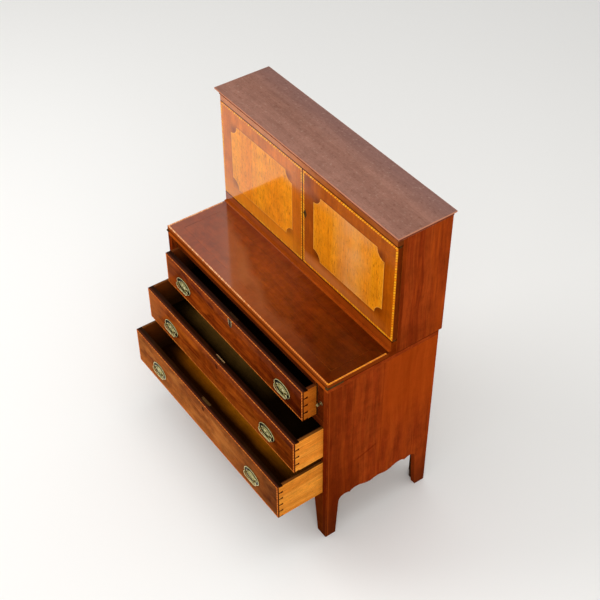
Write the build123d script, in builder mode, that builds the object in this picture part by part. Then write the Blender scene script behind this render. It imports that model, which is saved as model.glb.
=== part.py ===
from build123d import *
from math import cos, pi, sin
import os

# A writing cabinet in two stages. The lower case stands on shaped bracket feet. It holds three
# long drawers, two lopers and a writing leaf that folds over on to them. The upper case is a
# cupboard with two inlaid doors. X runs from left to right, Y from front to back and Z up.
# The drawers stand open by the pulls named below, and everything else is closed.

os.makedirs("parts", exist_ok=True)

# Lower case
case_width = 900.0
case_depth = 422.0
side_thickness = 20.0
apron_over_arch = 40.0
bottom_thickness = 15.0
rail_height = 25.0
rail_depth = 60.0
top_rail_height = 16.5
sub_top_thickness = 17.0
back_thickness = 8.0
rebate_width = 8.0
back_gap_below = 8.0
housing_depth = 6.0
housing_setback = 10.0
runner_width = 40.0
runner_lap = 26.0
kicker_width = 30.0
kicker_inset = 60.0

# Shaped aprons and bracket feet
side_foot_low = 40.0
side_foot_high = 50.0
front_foot_low = 43.0
front_foot_high = 62.0
arch_height = 178.0
arch_radius = 25.0
cusp_run = 23.0
cusp_drop = 8.0
cusp_step = 4.0
wave_rise = 7.0
wave_shares = ((0.13, 1.0), (0.36, -0.95), (0.5, -0.1), (0.64, -0.95), (0.87, 1.0))
apron_thickness = 20.0
rear_bracket_width = 62.0
rear_bracket_thickness = 16.0
foot_block = 18.0
foot_block_lift = 1.5

# Drawers
drawer_1_height = 127.0
drawer_2_height = 134.0
drawer_3_height = 150.0
drawer_1_pull = 48.0
drawer_2_pull = 109.0
drawer_3_pull = 172.0
drawer_lift = 0.4
drawer_top_gap = 2.1
drawer_side_gap = 0.8
drawer_rear_gap = 16.0
front_thickness = 20.0
lap_thickness = 5.0
lining_thickness = 11.0
drawer_back_thickness = 10.0
back_drop = 6.0
drawer_bottom_thickness = 6.0
bottom_lift = 11.0
groove_depth = 5.0
tail_pitch = 30.0
pin_width = 4.0
tail_slope_share = 0.17
stop_length = 40.0
stop_depth = 16.0
stop_height = 6.0
stop_gap = 0.3
stop_place_share = 0.6

# Inlaid lines and glue joints
string_width = 6.0
drawer_string_width = 4.0
string_depth = 1.2
glue_line = 0.1

# Locks and keyholes
lock_width = 48.0
lock_drop = 40.0
lock_plate = 1.6
lock_case_width = 38.0
lock_case_drop = 33.0
lock_case_depth = 9.0
selvedge_width = 8.0
keyhole_drop = 24.0
keyhole_radius = 2.7
keyhole_slot = 2.6
keyhole_length = 10.0
keyhole_sides = 12
escutcheon_width = 22.0
escutcheon_height = 37.0
escutcheon_thickness = 0.8
shield_shares = ((0.0, 0.0), (0.4, 0.04), (0.78, 0.02), (1.0, 0.1), (0.86, 0.32), (0.95, 0.52), (0.6, 0.82),
                 (0.0, 1.0))

# Oval handles
handle_inset = 105.2
handle_drop = 11.0
plate_length = 84.0
plate_height = 55.0
plate_thickness = 1.2
plate_rim = 3.5
plate_rim_height = 2.1
plate_sides = 24
post_spacing = 48.0
pommel_radius = 4.8
pommel_reach = 7.5
pommel_end_radius = 2.2
pommel_shoulder = 1.9
post_neck_radius = 3.1
post_sides = 10
bolt_width = 4.0
bolt_play = 0.2
nut_width = 9.0
nut_thickness = 3.2
bail_radius = 2.0
bail_sides = 8
bore_sides = 12
journal_clearance = 0.05
bail_half_width = 34.6
bail_drop = 18.0
bail_shares = ((0.92, 0.04), (0.985, 0.15), (1.0, 0.33), (0.955, 0.6), (0.86, 0.86), (0.74, 1.0))

# Lopers
partition_thickness = 8.0
partition_setback = 3.0
loper_bay = 40.0
loper_gap = 0.6
loper_lift = 0.3
loper_setback = 1.5
loper_rear_gap = 40.5
loper_travel = 212.0
peg_width = 8.0
peg_reach = 6.0
peg_place = 44.0
peg_play = 0.5
knob_radius = 6.5
knob_rose_radius = 8.0
knob_rose_thickness = 1.5
knob_neck_radius = 3.0
knob_reach = 11.0
knob_end_radius = 3.2
knob_sides = 12
knob_shank_width = 4.0
knob_shank_length = 16.0

# Writing leaf and its card-table hinges
leaf_thickness = 17.0
leaf_gap = 0.4
leaf_side_gap = 0.4
leaf_rear_gap = 0.8
leaf_band = 36.0
leather_border = 62.0
leather_thickness = 0.8
hinge_bar_length = 58.0
hinge_bar_width = 9.0
hinge_bar_thickness = 3.6
hinge_knuckle_radius = 4.0
hinge_knuckle_play = 0.25
hinge_axis_proud = 0.3
hinge_knuckle_share = 0.33
hinge_pin_radius = 1.5
hinge_pin_clearance = 0.05
hinge_sides = 10

# Upper case
upper_depth = 199.0
upper_overhang = 12.0
upper_side_thickness = 18.0
upper_back_thickness = 8.0
base_rail_height = 57.5
bead_width = 8.0
bead_height = 21.0
cupboard_floor_thickness = 16.0
frieze_height = 24.0
top_thickness = 22.0
cornice_overhang = 12.0
cornice_fillet = 5.0
cornice_quirk = 1.5
shelf_thickness = 10.0
shelf_height = 168.0
shelf_setback = 8.0
divider_thickness = 6.0
divider_count = 3

# Doors
door_height = 360.5
door_thickness = 18.0
door_gap = 2.0
door_meeting_gap = 1.5
door_rear_gap = 1.0
veneer_thickness = 1.2
panel_margin = 55.0
panel_corner_radius = 34.0
pivot_length = 42.0
pivot_width = 8.0
pivot_thickness = 2.5
pivot_inset = 3.4
pivot_washer_radius = 3.2
pivot_pin_radius = 1.5
pivot_play = 0.3
door_lock_inset = 13.0
door_lock_height = 199.5
door_lock_width = 44.0
door_lock_drop = 30.0
lozenge_width = 17.0
lozenge_height = 36.0

# One overrun serves every cut
over = 1.0

# Places worked out from the sizes above
half = case_width / 2
half_in = half - side_thickness
post_reach = pommel_reach + pommel_radius
longest_pull = max(drawer_1_pull, drawer_2_pull, drawer_3_pull)
y_front = (longest_pull + post_reach - case_depth - upper_overhang) / 2
y_back = y_front + case_depth
y_back_panel = y_back - back_thickness
drawer_gaps = drawer_lift + drawer_top_gap
plinth_height = arch_height + apron_over_arch
z_back_low = arch_height + back_gap_below
z_open_3 = plinth_height
z_rail_lower = z_open_3 + drawer_3_height + drawer_gaps
z_open_2 = z_rail_lower + rail_height
z_rail_upper = z_open_2 + drawer_2_height + drawer_gaps
z_open_1 = z_rail_upper + rail_height
z_top_rail = z_open_1 + drawer_1_height + drawer_gaps
z_sub_top = z_top_rail + top_rail_height
z_sub_top_face = z_sub_top + sub_top_thickness
z_leaf = z_sub_top_face + leaf_gap
z_leaf_face = z_leaf + leaf_thickness
half_drawer_1_bay = half_in - loper_bay
half_drawer_1 = half_drawer_1_bay - drawer_side_gap
half_drawer = half_in - drawer_side_gap
handle_place = half_drawer_1 - handle_inset
drawer_depth = case_depth - back_thickness - drawer_rear_gap
loper_length = case_depth - back_thickness - loper_setback - loper_rear_gap
y_door = y_back + upper_overhang - upper_depth
y_door_back = y_door + door_thickness
y_upper = y_door_back + door_rear_gap
y_upper_back = y_door + upper_depth
z_door = z_sub_top_face + base_rail_height + door_gap
z_cupboard = z_sub_top_face + base_rail_height
z_door_top = z_door + door_height
z_frieze = z_door_top + door_gap
z_cornice = z_frieze + frieze_height
half_upper_in = half - upper_side_thickness


def block(x, y, z, mode=Mode.ADD):
    """Adds or cuts a square-edged block between a low and a high place on each axis."""
    with Locations((x[0], y[0], z[0])):
        Box(x[1] - x[0], y[1] - y[0], z[1] - z[0], align=(Align.MIN, Align.MIN, Align.MIN), mode=mode)


def both_sides(low, high):
    """The same stretch of X on the right and on the left."""
    return ((low, high), (-high, -low))


def save(piece, name):
    """Labels a finished piece and writes its file."""
    piece.part.label = name
    export_step(piece.part, f"parts/{name}.step")


def save_pair(build, right_name, left_name):
    """Writes a right-hand piece and its mirror image on the left."""
    right = build()
    save(right, right_name)
    with BuildPart() as left:
        add(right.part)
        mirror(about=Plane.YZ, mode=Mode.REPLACE)
    save(left, left_name)


# Aprons and feet

def apron_edge(length, foot_low, foot_high):
    """Draws an apron's lower edge about X = 0: two tapered feet, their arches and the wave."""
    end = length / 2
    foot_x = end - foot_high
    arch_x = foot_x - arch_radius
    cusp_x = arch_x - cusp_run
    cusp_z = arch_height - cusp_drop
    wave_z = cusp_z + cusp_step
    Line((end - foot_low, 0), (foot_x, arch_height - arch_radius))
    CenterArc((arch_x, arch_height - arch_radius), arch_radius, 0, 90)
    TangentArc((arch_x, arch_height), (cusp_x, cusp_z), tangent=(-1, 0))
    Line((cusp_x, cusp_z), (cusp_x, wave_z))
    mirror(about=Plane.YZ)
    wave = [(cusp_x * (2 * place - 1), wave_z + rise * wave_rise) for place, rise in wave_shares]
    Spline((-cusp_x, wave_z), *wave, (cusp_x, wave_z))


def apron_board(plane, length, foot_low, foot_high, height, thickness):
    """A board that stands on two feet, cut from the plane's outline of the given height."""
    with BuildPart() as board:
        with BuildSketch(plane):
            with BuildLine():
                apron_edge(length, foot_low, foot_high)
                Polyline((foot_low - length / 2, 0), (-length / 2, 0), (-length / 2, height),
                         (length / 2, height), (length / 2, 0), (length / 2 - foot_low, 0))
            make_face()
        extrude(amount=thickness)
    return board


def side_board():
    """The right-hand side of the lower case, with its feet, its housings and the back's rebate."""
    middle = Plane(origin=(half_in, y_front + case_depth / 2, 0), x_dir=(0, 1, 0), z_dir=(1, 0, 0))
    outline = apron_board(middle, case_depth, side_foot_low, side_foot_high, z_sub_top, side_thickness)
    housing_x = (half_in - over, half_in + housing_depth)
    with BuildPart() as side:
        add(outline.part)
        for z in (z_rail_lower, z_rail_upper):
            block(housing_x, (y_front + housing_setback, y_front + rail_depth), (z, z + rail_height),
                  Mode.SUBTRACT)
        block(housing_x, (y_front + apron_thickness, y_back_panel),
              (plinth_height - bottom_thickness, plinth_height), Mode.SUBTRACT)
        block((half_in - over, half_in + rebate_width), (y_back_panel, y_back + over),
              (z_back_low, z_sub_top + over), Mode.SUBTRACT)
    return side


save_pair(side_board, "side_right", "side_left")

front_plane = Plane(origin=(0, y_front + apron_thickness, 0), x_dir=(1, 0, 0), z_dir=(0, -1, 0))
front_apron = apron_board(front_plane, 2 * half_in, front_foot_low - side_thickness,
                          front_foot_high - side_thickness, plinth_height, apron_thickness)
save(front_apron, "front_apron")

with BuildPart() as foot_brackets:
    rear_plane = Plane(origin=(0, y_back, 0), x_dir=(1, 0, 0), z_dir=(0, -1, 0))
    bracket_in = half_in - rear_bracket_width
    bracket_foot = half_in - side_foot_low
    with BuildSketch(rear_plane):
        with BuildLine():
            Polyline((bracket_in, arch_height), (half_in, arch_height), (half_in, 0), (bracket_foot, 0))
            Line((bracket_foot, 0), (bracket_foot, arch_height - rear_bracket_width))
            ThreePointArc((bracket_foot, arch_height - rear_bracket_width),
                          (bracket_foot - (bracket_foot - bracket_in) / 4, arch_height - arch_radius),
                          (bracket_in, arch_height))
        make_face()
    extrude(amount=rear_bracket_thickness)
    mirror(about=Plane.YZ)
    block_z = (foot_block_lift, plinth_height - bottom_thickness)
    for x in both_sides(half_in - foot_block, half_in - glue_line):
        block(x, (y_front + apron_thickness, y_front + apron_thickness + foot_block), block_z)
        block(x, (y_back - rear_bracket_thickness - glue_line - foot_block,
                  y_back - rear_bracket_thickness - glue_line), block_z)
save(foot_brackets, "foot_brackets")

# The fixed boards and rails of the lower case

with BuildPart() as case_bottom:
    block((-half_in - housing_depth, half_in + housing_depth), (y_front + apron_thickness, y_back_panel),
          (plinth_height - bottom_thickness, plinth_height))
save(case_bottom, "case_bottom")

with BuildPart() as lower_back:
    block((-half_in - rebate_width, half_in + rebate_width), (y_back_panel, y_back),
          (z_back_low, z_sub_top))
save(lower_back, "lower_back")

with BuildPart() as drawer_rails:
    for z in (z_rail_lower, z_rail_upper):
        block((-half_in, half_in), (y_front, y_front + rail_depth), (z, z + rail_height))
        block((-half_in - housing_depth, half_in + housing_depth),
              (y_front + housing_setback, y_front + rail_depth), (z, z + rail_height))
    block((-half_drawer_1_bay, half_drawer_1_bay), (y_front, y_front + rail_depth), (z_top_rail, z_sub_top))
save(drawer_rails, "drawer_rails")

with BuildPart() as drawer_runners:
    runner_y = (y_front + rail_depth, y_back_panel)
    for x in both_sides(half_in - runner_width, half_in):
        block(x, runner_y, (z_rail_lower, z_rail_lower + rail_height))
    for x in both_sides(half_drawer_1_bay - runner_lap, half_in):
        block(x, runner_y, (z_rail_upper, z_rail_upper + rail_height))
    for x in both_sides(half_drawer_1_bay - kicker_inset, half_drawer_1_bay - kicker_inset + kicker_width):
        block(x, runner_y, (z_top_rail, z_sub_top))
    stop_y = y_front + front_thickness + stop_gap
    for bay, z in ((half_drawer_1_bay, z_open_1), (half_in, z_open_2), (half_in, z_open_3)):
        for x in both_sides(bay * stop_place_share, bay * stop_place_share + stop_length):
            block(x, (stop_y, stop_y + stop_depth), (z, z + stop_height))
save(drawer_runners, "drawer_runners")

# Lopers and the partitions that guide them

loper_x = (half_drawer_1_bay + partition_thickness + loper_gap, half_in - loper_gap)
loper_z = (z_open_1 + loper_lift, z_sub_top - loper_lift)
loper_y = y_front + loper_setback
peg_y = loper_y + loper_length - peg_place
peg_z = (z_open_1 + z_sub_top) / 2
knob_z = peg_z
knob_x = (loper_x[0] + loper_x[1]) / 2

with BuildPart() as loper_partitions:
    partition_x = (half_drawer_1_bay, half_drawer_1_bay + partition_thickness)
    block(partition_x, (y_front + partition_setback, y_back_panel), (z_open_1, z_sub_top))
    play = peg_width / 2 + peg_play
    block((partition_x[0] - over, partition_x[1] + over), (peg_y - loper_travel - play, peg_y + play),
          (peg_z - play, peg_z + play), Mode.SUBTRACT)
    mirror(about=Plane.YZ)
save(loper_partitions, "loper_partitions")


def loper():
    """The right-hand loper: a deep bearer with a stop peg on its inner face."""
    with BuildPart() as bearer:
        block(loper_x, (loper_y, loper_y + loper_length), loper_z)
        block((loper_x[0] - peg_reach, loper_x[0]), (peg_y - peg_width / 2, peg_y + peg_width / 2),
              (peg_z - peg_width / 2, peg_z + peg_width / 2))
        square_shank(glue_line, Mode.SUBTRACT)
    return bearer


def turned(place, profile, sides):
    """A turned piece with a few flat sides that stands out to the front, from its (width, reach) pairs."""
    outline = [*profile, *[(-half_width, reach) for half_width, reach in reversed(profile)]]
    widest = 2 * max(half_width for half_width, reach in profile)
    with BuildPart() as piece:
        for number in range(sides // 2):
            turn = 2 * pi * number / sides
            across = Plane(origin=place, x_dir=(cos(turn), 0, sin(turn)), z_dir=(sin(turn), 0, -cos(turn)))
            with BuildSketch(across):
                Polygon(*outline, align=None)
            extrude(amount=widest, both=True, mode=Mode.INTERSECT if number else Mode.ADD)
    return piece


def loper_knob():
    """The small brass knob that draws the right-hand loper out, on a square shank."""
    profile = ((knob_rose_radius, 0), (knob_rose_radius, knob_rose_thickness),
               (knob_neck_radius, 2 * knob_rose_thickness), (knob_neck_radius, knob_reach - knob_radius),
               (knob_radius, knob_reach - knob_neck_radius),
               (knob_radius, knob_reach + knob_neck_radius / 2),
               (knob_end_radius, knob_reach + knob_radius))
    with BuildPart() as knob:
        add(turned((knob_x, loper_y, knob_z), profile, knob_sides).part)
        square_shank(0)
    return knob


def square_shank(play, mode=Mode.ADD):
    """Adds the knob's shank, or cuts its hole with some play."""
    reach = knob_shank_width / 2 + play
    block((knob_x - reach, knob_x + reach), (loper_y - play, loper_y + knob_shank_length + play),
          (knob_z - reach, knob_z + reach), mode)


save_pair(loper, "loper_right", "loper_left")
save_pair(loper_knob, "loper_right_knob", "loper_left_knob")

# Fixed top and folding leaf

bar_y = (y_front + hinge_knuckle_radius + hinge_knuckle_play, y_front + hinge_bar_length)
bar_x = (half - hinge_bar_width, half)
notch_y = (y_front - over, bar_y[1])
hinge_y = y_front - hinge_axis_proud
hinge_z = z_sub_top_face + leaf_gap / 2
notch_rise = hinge_knuckle_radius + 2 * hinge_knuckle_play
leaf_y = (y_front, y_door - bead_width - leaf_rear_gap)
leather_x = (leather_border - half, half - leather_border)
leather_y = (y_front + leather_border, leaf_y[1] - leather_border / 2)

with BuildPart() as sub_top:
    block((-half, half), (y_front, y_back), (z_sub_top, z_sub_top_face))
    block(leather_x, leather_y, (z_sub_top_face - leather_thickness, z_sub_top_face + over), Mode.SUBTRACT)
    for x in both_sides(bar_x[0], bar_x[1] + over):
        block(x, notch_y, (z_sub_top_face - hinge_bar_thickness, z_sub_top_face + over), Mode.SUBTRACT)
        block(x, (notch_y[0], bar_y[0]), (z_sub_top_face - notch_rise, z_sub_top_face + over), Mode.SUBTRACT)
save(sub_top, "sub_top")

with BuildPart() as top_leather:
    block(leather_x, leather_y, (z_sub_top_face - leather_thickness, z_sub_top_face))
save(top_leather, "top_leather")

leaf_half = half - leaf_side_gap

with BuildPart() as leaf:
    block((-leaf_half, leaf_half), leaf_y, (z_leaf, z_leaf_face))
    band_in = leaf_band + string_width
    with BuildSketch(Plane.XY.offset(z_leaf_face)):
        with Locations((0, (leaf_y[0] + leaf_y[1]) / 2)):
            Rectangle(2 * leaf_half + over, leaf_y[1] - leaf_y[0] + over)
            Rectangle(2 * (leaf_half - band_in), leaf_y[1] - leaf_y[0] - 2 * band_in, mode=Mode.SUBTRACT)
    extrude(amount=-string_depth, mode=Mode.SUBTRACT)
    block(leather_x, leather_y, (z_leaf - over, z_leaf + leather_thickness), Mode.SUBTRACT)
    for x in both_sides(bar_x[0], bar_x[1] + over):
        block(x, notch_y, (z_leaf - over, z_leaf + hinge_bar_thickness), Mode.SUBTRACT)
        block(x, (notch_y[0], bar_y[0]), (z_leaf - over, z_leaf + notch_rise), Mode.SUBTRACT)
save(leaf, "leaf")

with BuildPart() as leaf_leather:
    block(leather_x, leather_y, (z_leaf, z_leaf + leather_thickness))
save(leaf_leather, "leaf_leather")


def mitre_cuts(x, z, reach):
    """Cuts thin glue lines at 45 degrees from the corners of a rectangle towards its middle."""
    corners = ((x[0], z[0]), (x[1], z[0]), (x[1], z[1]), (x[0], z[1]))
    for number, corner in enumerate(corners):
        with Locations(Location(corner, 45 + 90 * number)):
            Rectangle(reach, glue_line, align=(Align.MIN, Align.CENTER), mode=Mode.SUBTRACT)


def ring_between(x, z, outer, inner):
    """A rectangular ring: the stretch between two insets from a rectangle."""
    width = x[1] - x[0]
    height = z[1] - z[0]
    with Locations(((x[0] + x[1]) / 2, (z[0] + z[1]) / 2)):
        Rectangle(width - 2 * outer, height - 2 * outer)
        Rectangle(width - 2 * inner, height - 2 * inner, mode=Mode.SUBTRACT)


def frame_between(x, z, outer, inner):
    """The same ring as four strips, split by a mitre at each corner."""
    ring_between(x, z, outer, inner)
    mitre_cuts(x, z, 2 * inner)


with BuildPart() as leaf_banding:
    for outer, inner in ((0, string_width), (string_width + glue_line, band_in - glue_line)):
        with BuildSketch(Plane.XY.offset(z_leaf_face - string_depth)):
            frame_between((-leaf_half, leaf_half), leaf_y, outer, inner)
        extrude(amount=string_depth)
save(leaf_banding, "leaf_banding")


def table_hinge(plate_z, knuckles):
    """One half of a card-table hinge: a bar let into the corner and the knuckles that it carries."""
    with BuildPart() as bar:
        block(bar_x, bar_y, plate_z)
        for x in knuckles:
            block(x, (hinge_y, bar_y[0] + over), plate_z)
            with BuildSketch(Plane(origin=(x[0], hinge_y, hinge_z), x_dir=(0, 1, 0), z_dir=(1, 0, 0))):
                RegularPolygon(hinge_knuckle_radius, hinge_sides)
            extrude(amount=x[1] - x[0])
    return bar


knuckle_edge = hinge_bar_width * hinge_knuckle_share
knuckle_low = bar_x[0] + knuckle_edge
knuckle_high = bar_x[1] - knuckle_edge

with BuildPart() as table_hinges_fixed:
    add(table_hinge((z_sub_top_face - hinge_bar_thickness, z_sub_top_face),
                    ((knuckle_low, knuckle_high),)).part)
    with BuildSketch(Plane(origin=(bar_x[0], hinge_y, hinge_z), x_dir=(0, 1, 0), z_dir=(1, 0, 0))):
        RegularPolygon(hinge_pin_radius, hinge_sides)
    extrude(amount=hinge_bar_width)
    mirror(about=Plane.YZ)
save(table_hinges_fixed, "table_hinges_fixed")

with BuildPart() as table_hinges_leaf:
    add(table_hinge((z_leaf, z_leaf + hinge_bar_thickness),
                    ((bar_x[0], knuckle_low - hinge_knuckle_play),
                     (knuckle_high + hinge_knuckle_play, bar_x[1]))).part)
    with BuildSketch(Plane(origin=(bar_x[0] - over, hinge_y, hinge_z), x_dir=(0, 1, 0), z_dir=(1, 0, 0))):
        RegularPolygon(hinge_pin_radius + hinge_pin_clearance, hinge_sides, major_radius=False)
    extrude(amount=hinge_bar_width + 2 * over, mode=Mode.SUBTRACT)
    mirror(about=Plane.YZ)
save(table_hinges_leaf, "table_hinges_leaf")

# Drawers


def keyhole(x, z, mode=Mode.ADD):
    """A keyhole's outline: a round hole with a slot below it."""
    with Locations((x, z)):
        RegularPolygon(keyhole_radius, keyhole_sides, mode=mode)
        Rectangle(keyhole_slot, keyhole_length, align=(Align.CENTER, Align.MAX), mode=mode)


def tails(height, length, play=0):
    """Dovetails along a board's edge: narrow at X = 0 and wide at their ends."""
    count = max(2, round(height / tail_pitch))
    pitch = height / count
    tip = (pitch - pin_width) / 2 + play
    root = tip - length * tail_slope_share
    for number in range(count):
        middle = pitch * (number + 0.5)
        Polygon((0, middle - root), (length, middle - tip), (length, middle + tip), (0, middle + root),
                align=None)


class Drawer:
    """The named places of one drawer, from its number, half width, height, opening and pull."""

    def __init__(self, number, half_width, height, z_open, pull):
        self.name = f"drawer_{number}"
        self.half = half_width
        self.low = z_open + drawer_lift
        self.high = self.low + height
        self.front = y_front - pull
        self.inner = self.front + front_thickness
        self.rear = self.front + drawer_depth
        self.back = self.rear - drawer_back_thickness
        self.floor = self.low + bottom_lift
        self.back_low = self.floor + drawer_bottom_thickness
        self.back_high = self.high - back_drop
        self.handle_z = (self.low + self.high) / 2 - handle_drop
        self.keyhole_z = self.high - keyhole_drop
        self.plane = Plane(origin=(0, self.front, 0), x_dir=(1, 0, 0), z_dir=(0, -1, 0))


def drawer_front_tails(drawer):
    """The tails that the right side sends into the drawer front, held as a part of their own."""
    edge = Plane(origin=(drawer.half, drawer.inner, drawer.low), x_dir=(0, -1, 0), z_dir=(-1, 0, 0))
    with BuildPart() as joint:
        with BuildSketch(edge):
            tails(drawer.high - drawer.low, front_thickness - lap_thickness)
        extrude(amount=lining_thickness)
    return joint


def drawer_back_tails(drawer, play=0):
    """The tails that the right side sends through the drawer back."""
    edge = Plane(origin=(drawer.half - lining_thickness - play, drawer.back, drawer.back_low),
                 x_dir=(0, 1, 0), z_dir=(1, 0, 0))
    with BuildPart() as joint:
        with BuildSketch(edge):
            tails(drawer.back_high - drawer.back_low, drawer_back_thickness, play)
        extrude(amount=lining_thickness + play)
    return joint


def drawer_front(drawer):
    """The front: sockets for the tails, a groove for the bottom, a lock recess and its inlaid line."""
    socket = drawer_front_tails(drawer)
    x = (-drawer.half, drawer.half)
    z = (drawer.low, drawer.high)
    with BuildPart() as front:
        block(x, (drawer.front, drawer.inner), z)
        add(socket.part, mode=Mode.SUBTRACT)
        add(socket.part.mirror(Plane.YZ), mode=Mode.SUBTRACT)
        groove_half = drawer.half - lining_thickness + groove_depth
        block((-groove_half, groove_half), (drawer.inner - groove_depth, drawer.inner + over),
              (drawer.floor, drawer.back_low), Mode.SUBTRACT)
        block((-lock_width / 2, lock_width / 2), (drawer.inner - selvedge_width, drawer.inner + over),
              (drawer.high - lock_plate, drawer.high + over), Mode.SUBTRACT)
        block((-lock_width / 2, lock_width / 2), (drawer.inner - lock_plate, drawer.inner + over),
              (drawer.high - lock_drop, drawer.high + over), Mode.SUBTRACT)
        block((-lock_case_width / 2, lock_case_width / 2),
              (drawer.inner - lock_plate - lock_case_depth, drawer.inner + over),
              (drawer.high - lock_case_drop, drawer.high), Mode.SUBTRACT)
        with BuildSketch(drawer.plane):
            keyhole(0, drawer.keyhole_z)
            with Locations(*[(side * handle_place + end * post_spacing / 2, drawer.handle_z)
                             for side in (-1, 1) for end in (-1, 1)]):
                Rectangle(bolt_width + bolt_play, bolt_width + bolt_play)
        extrude(amount=-front_thickness, mode=Mode.SUBTRACT)
        with BuildSketch(drawer.plane):
            ring_between(x, z, -over, drawer_string_width + glue_line)
        extrude(amount=-string_depth - glue_line, mode=Mode.SUBTRACT)
        with BuildSketch(drawer.plane):
            frame_between(x, z, 0, drawer_string_width)
        extrude(amount=-string_depth)
    return front


def drawer_box(drawer):
    """The two dovetailed sides and the back, as three separate boards."""
    front_tails = drawer_front_tails(drawer)
    back_tails = drawer_back_tails(drawer)
    socket = drawer_back_tails(drawer, glue_line)
    side_x = (drawer.half - lining_thickness, drawer.half)
    with BuildPart() as right:
        block(side_x, (drawer.inner, drawer.back), (drawer.low, drawer.high))
        block(side_x, (drawer.back - over, drawer.rear), (drawer.low, drawer.back_low))
        add(front_tails.part)
        add(back_tails.part)
        block((side_x[0] - over, side_x[0] + groove_depth),
              (drawer.inner - groove_depth, drawer.rear + over), (drawer.floor, drawer.back_low),
              Mode.SUBTRACT)
    with BuildPart() as back:
        block((-drawer.half, drawer.half), (drawer.back + glue_line, drawer.rear),
              (drawer.back_low + glue_line, drawer.back_high))
        add(socket.part, mode=Mode.SUBTRACT)
        add(socket.part.mirror(Plane.YZ), mode=Mode.SUBTRACT)
    with BuildPart() as box:
        add(right.part)
        add(right.part.mirror(Plane.YZ))
        add(back.part)
    return box


def drawer_bottom(drawer):
    """The thin bottom board, slid into the grooves from behind."""
    reach = drawer.half - lining_thickness + groove_depth
    with BuildPart() as bottom:
        block((-reach, reach), (drawer.inner - groove_depth, drawer.rear), (drawer.floor, drawer.back_low))
    return bottom


def drawer_lock(drawer, escutcheon):
    """The lock: its back plate, its case, the selvedge on the top edge and any shield escutcheon."""
    with BuildPart() as lock:
        block((-lock_width / 2, lock_width / 2), (drawer.inner - lock_plate, drawer.inner),
              (drawer.high - lock_drop, drawer.high))
        block((-lock_width / 2, lock_width / 2), (drawer.inner - selvedge_width, drawer.inner),
              (drawer.high - lock_plate, drawer.high))
        block((-lock_case_width / 2, lock_case_width / 2),
              (drawer.inner - lock_plate - lock_case_depth, drawer.inner),
              (drawer.high - lock_case_drop, drawer.high - lock_plate))
        if escutcheon:
            with BuildSketch(drawer.plane):
                top = drawer.high - drawer_string_width - glue_line
                shield = [(across * escutcheon_width / 2, top - down * escutcheon_height)
                          for across, down in shield_shares]
                Polygon(*shield, *[(-x, z) for x, z in reversed(shield[1:-1])], align=None)
                keyhole(0, drawer.keyhole_z, Mode.SUBTRACT)
            extrude(amount=escutcheon_thickness)
    return lock


def oval(width, height, sides, mode=Mode.ADD):
    """Adds an oval drawn with a few straight sides, because the handles repeat."""
    turns = [2 * pi * number / sides for number in range(sides)]
    Polygon(*[(width / 2 * cos(turn), height / 2 * sin(turn)) for turn in turns], align=None, mode=mode)


def handle_post(drawer, x):
    """A handle post: a square bolt and nut behind, a neck and a bored pommel in front."""
    z = drawer.handle_z
    profile = ((post_neck_radius, plate_thickness), (pommel_radius, pommel_reach - pommel_shoulder),
               (pommel_radius, pommel_reach + pommel_shoulder), (pommel_end_radius, post_reach))
    bolt = bolt_width / 2
    nut = nut_width / 2
    with BuildPart() as post:
        add(turned((x, drawer.front, z), profile, post_sides).part)
        block((x - bolt, x + bolt), (drawer.front - plate_thickness, drawer.inner + nut_thickness),
              (z - bolt, z + bolt))
        block((x - nut, x + nut), (drawer.inner, drawer.inner + nut_thickness), (z - nut, z + nut))
        bore = Plane(origin=(x - pommel_radius, drawer.front - pommel_reach, z), x_dir=(0, 1, 0),
                     z_dir=(1, 0, 0))
        with BuildSketch(bore):
            RegularPolygon(bail_radius + journal_clearance, bore_sides, major_radius=False)
        extrude(amount=2 * pommel_radius, mode=Mode.SUBTRACT)
    return post


def handle_plates(drawer):
    """Two oval plates with raised rims, and the four posts that carry the bails."""
    with BuildPart() as plates:
        for side in (-1, 1):
            middle = side * handle_place
            ends = [middle + end * post_spacing / 2 for end in (-1, 1)]
            with BuildSketch(drawer.plane):
                with Locations((middle, drawer.handle_z)):
                    oval(plate_length, plate_height, plate_sides)
                with Locations(*[(x, drawer.handle_z) for x in ends]):
                    Rectangle(bolt_width + bolt_play, bolt_width + bolt_play, mode=Mode.SUBTRACT)
            extrude(amount=plate_thickness - glue_line)
            with BuildSketch(drawer.plane):
                with Locations((middle, drawer.handle_z)):
                    oval(plate_length, plate_height, plate_sides)
                    oval(plate_length - 2 * plate_rim, plate_height - 2 * plate_rim, plate_sides,
                         Mode.SUBTRACT)
            extrude(amount=plate_rim_height)
            for x in ends:
                add(handle_post(drawer, x).part)
    return plates


def bail_shape():
    """A swinging bail drawn flat: round journals in the posts and a swan-necked grip below them."""
    start = post_spacing / 2 - pommel_radius
    shoulder = post_spacing / 2 + pommel_radius + journal_clearance
    bends = [(across * bail_half_width, -down * bail_drop) for across, down in bail_shares]
    with BuildPart() as ring:
        with BuildLine() as path:
            Polyline((shoulder, 0), *bends, (0, -bail_drop))
        with BuildSketch(Plane(origin=path.line @ 0, z_dir=path.line % 0)):
            RegularPolygon(bail_radius, bail_sides)
        sweep(path=path.line, transition=Transition.RIGHT)
        with BuildSketch(Plane.YZ.offset(start)):
            RegularPolygon(bail_radius, bore_sides)
        extrude(amount=shoulder - start)
        mirror(about=Plane.YZ)
    return ring


hanging_bail = bail_shape()


def bail(drawer, side):
    """The bail in its place: hanging from the posts of one of the drawer's two handles."""
    place = Plane(origin=(side * handle_place, drawer.front - pommel_reach, drawer.handle_z),
                  x_dir=(1, 0, 0), z_dir=(0, -1, 0))
    with BuildPart() as ring:
        with Locations(place):
            add(hanging_bail.part)
    return ring


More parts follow.
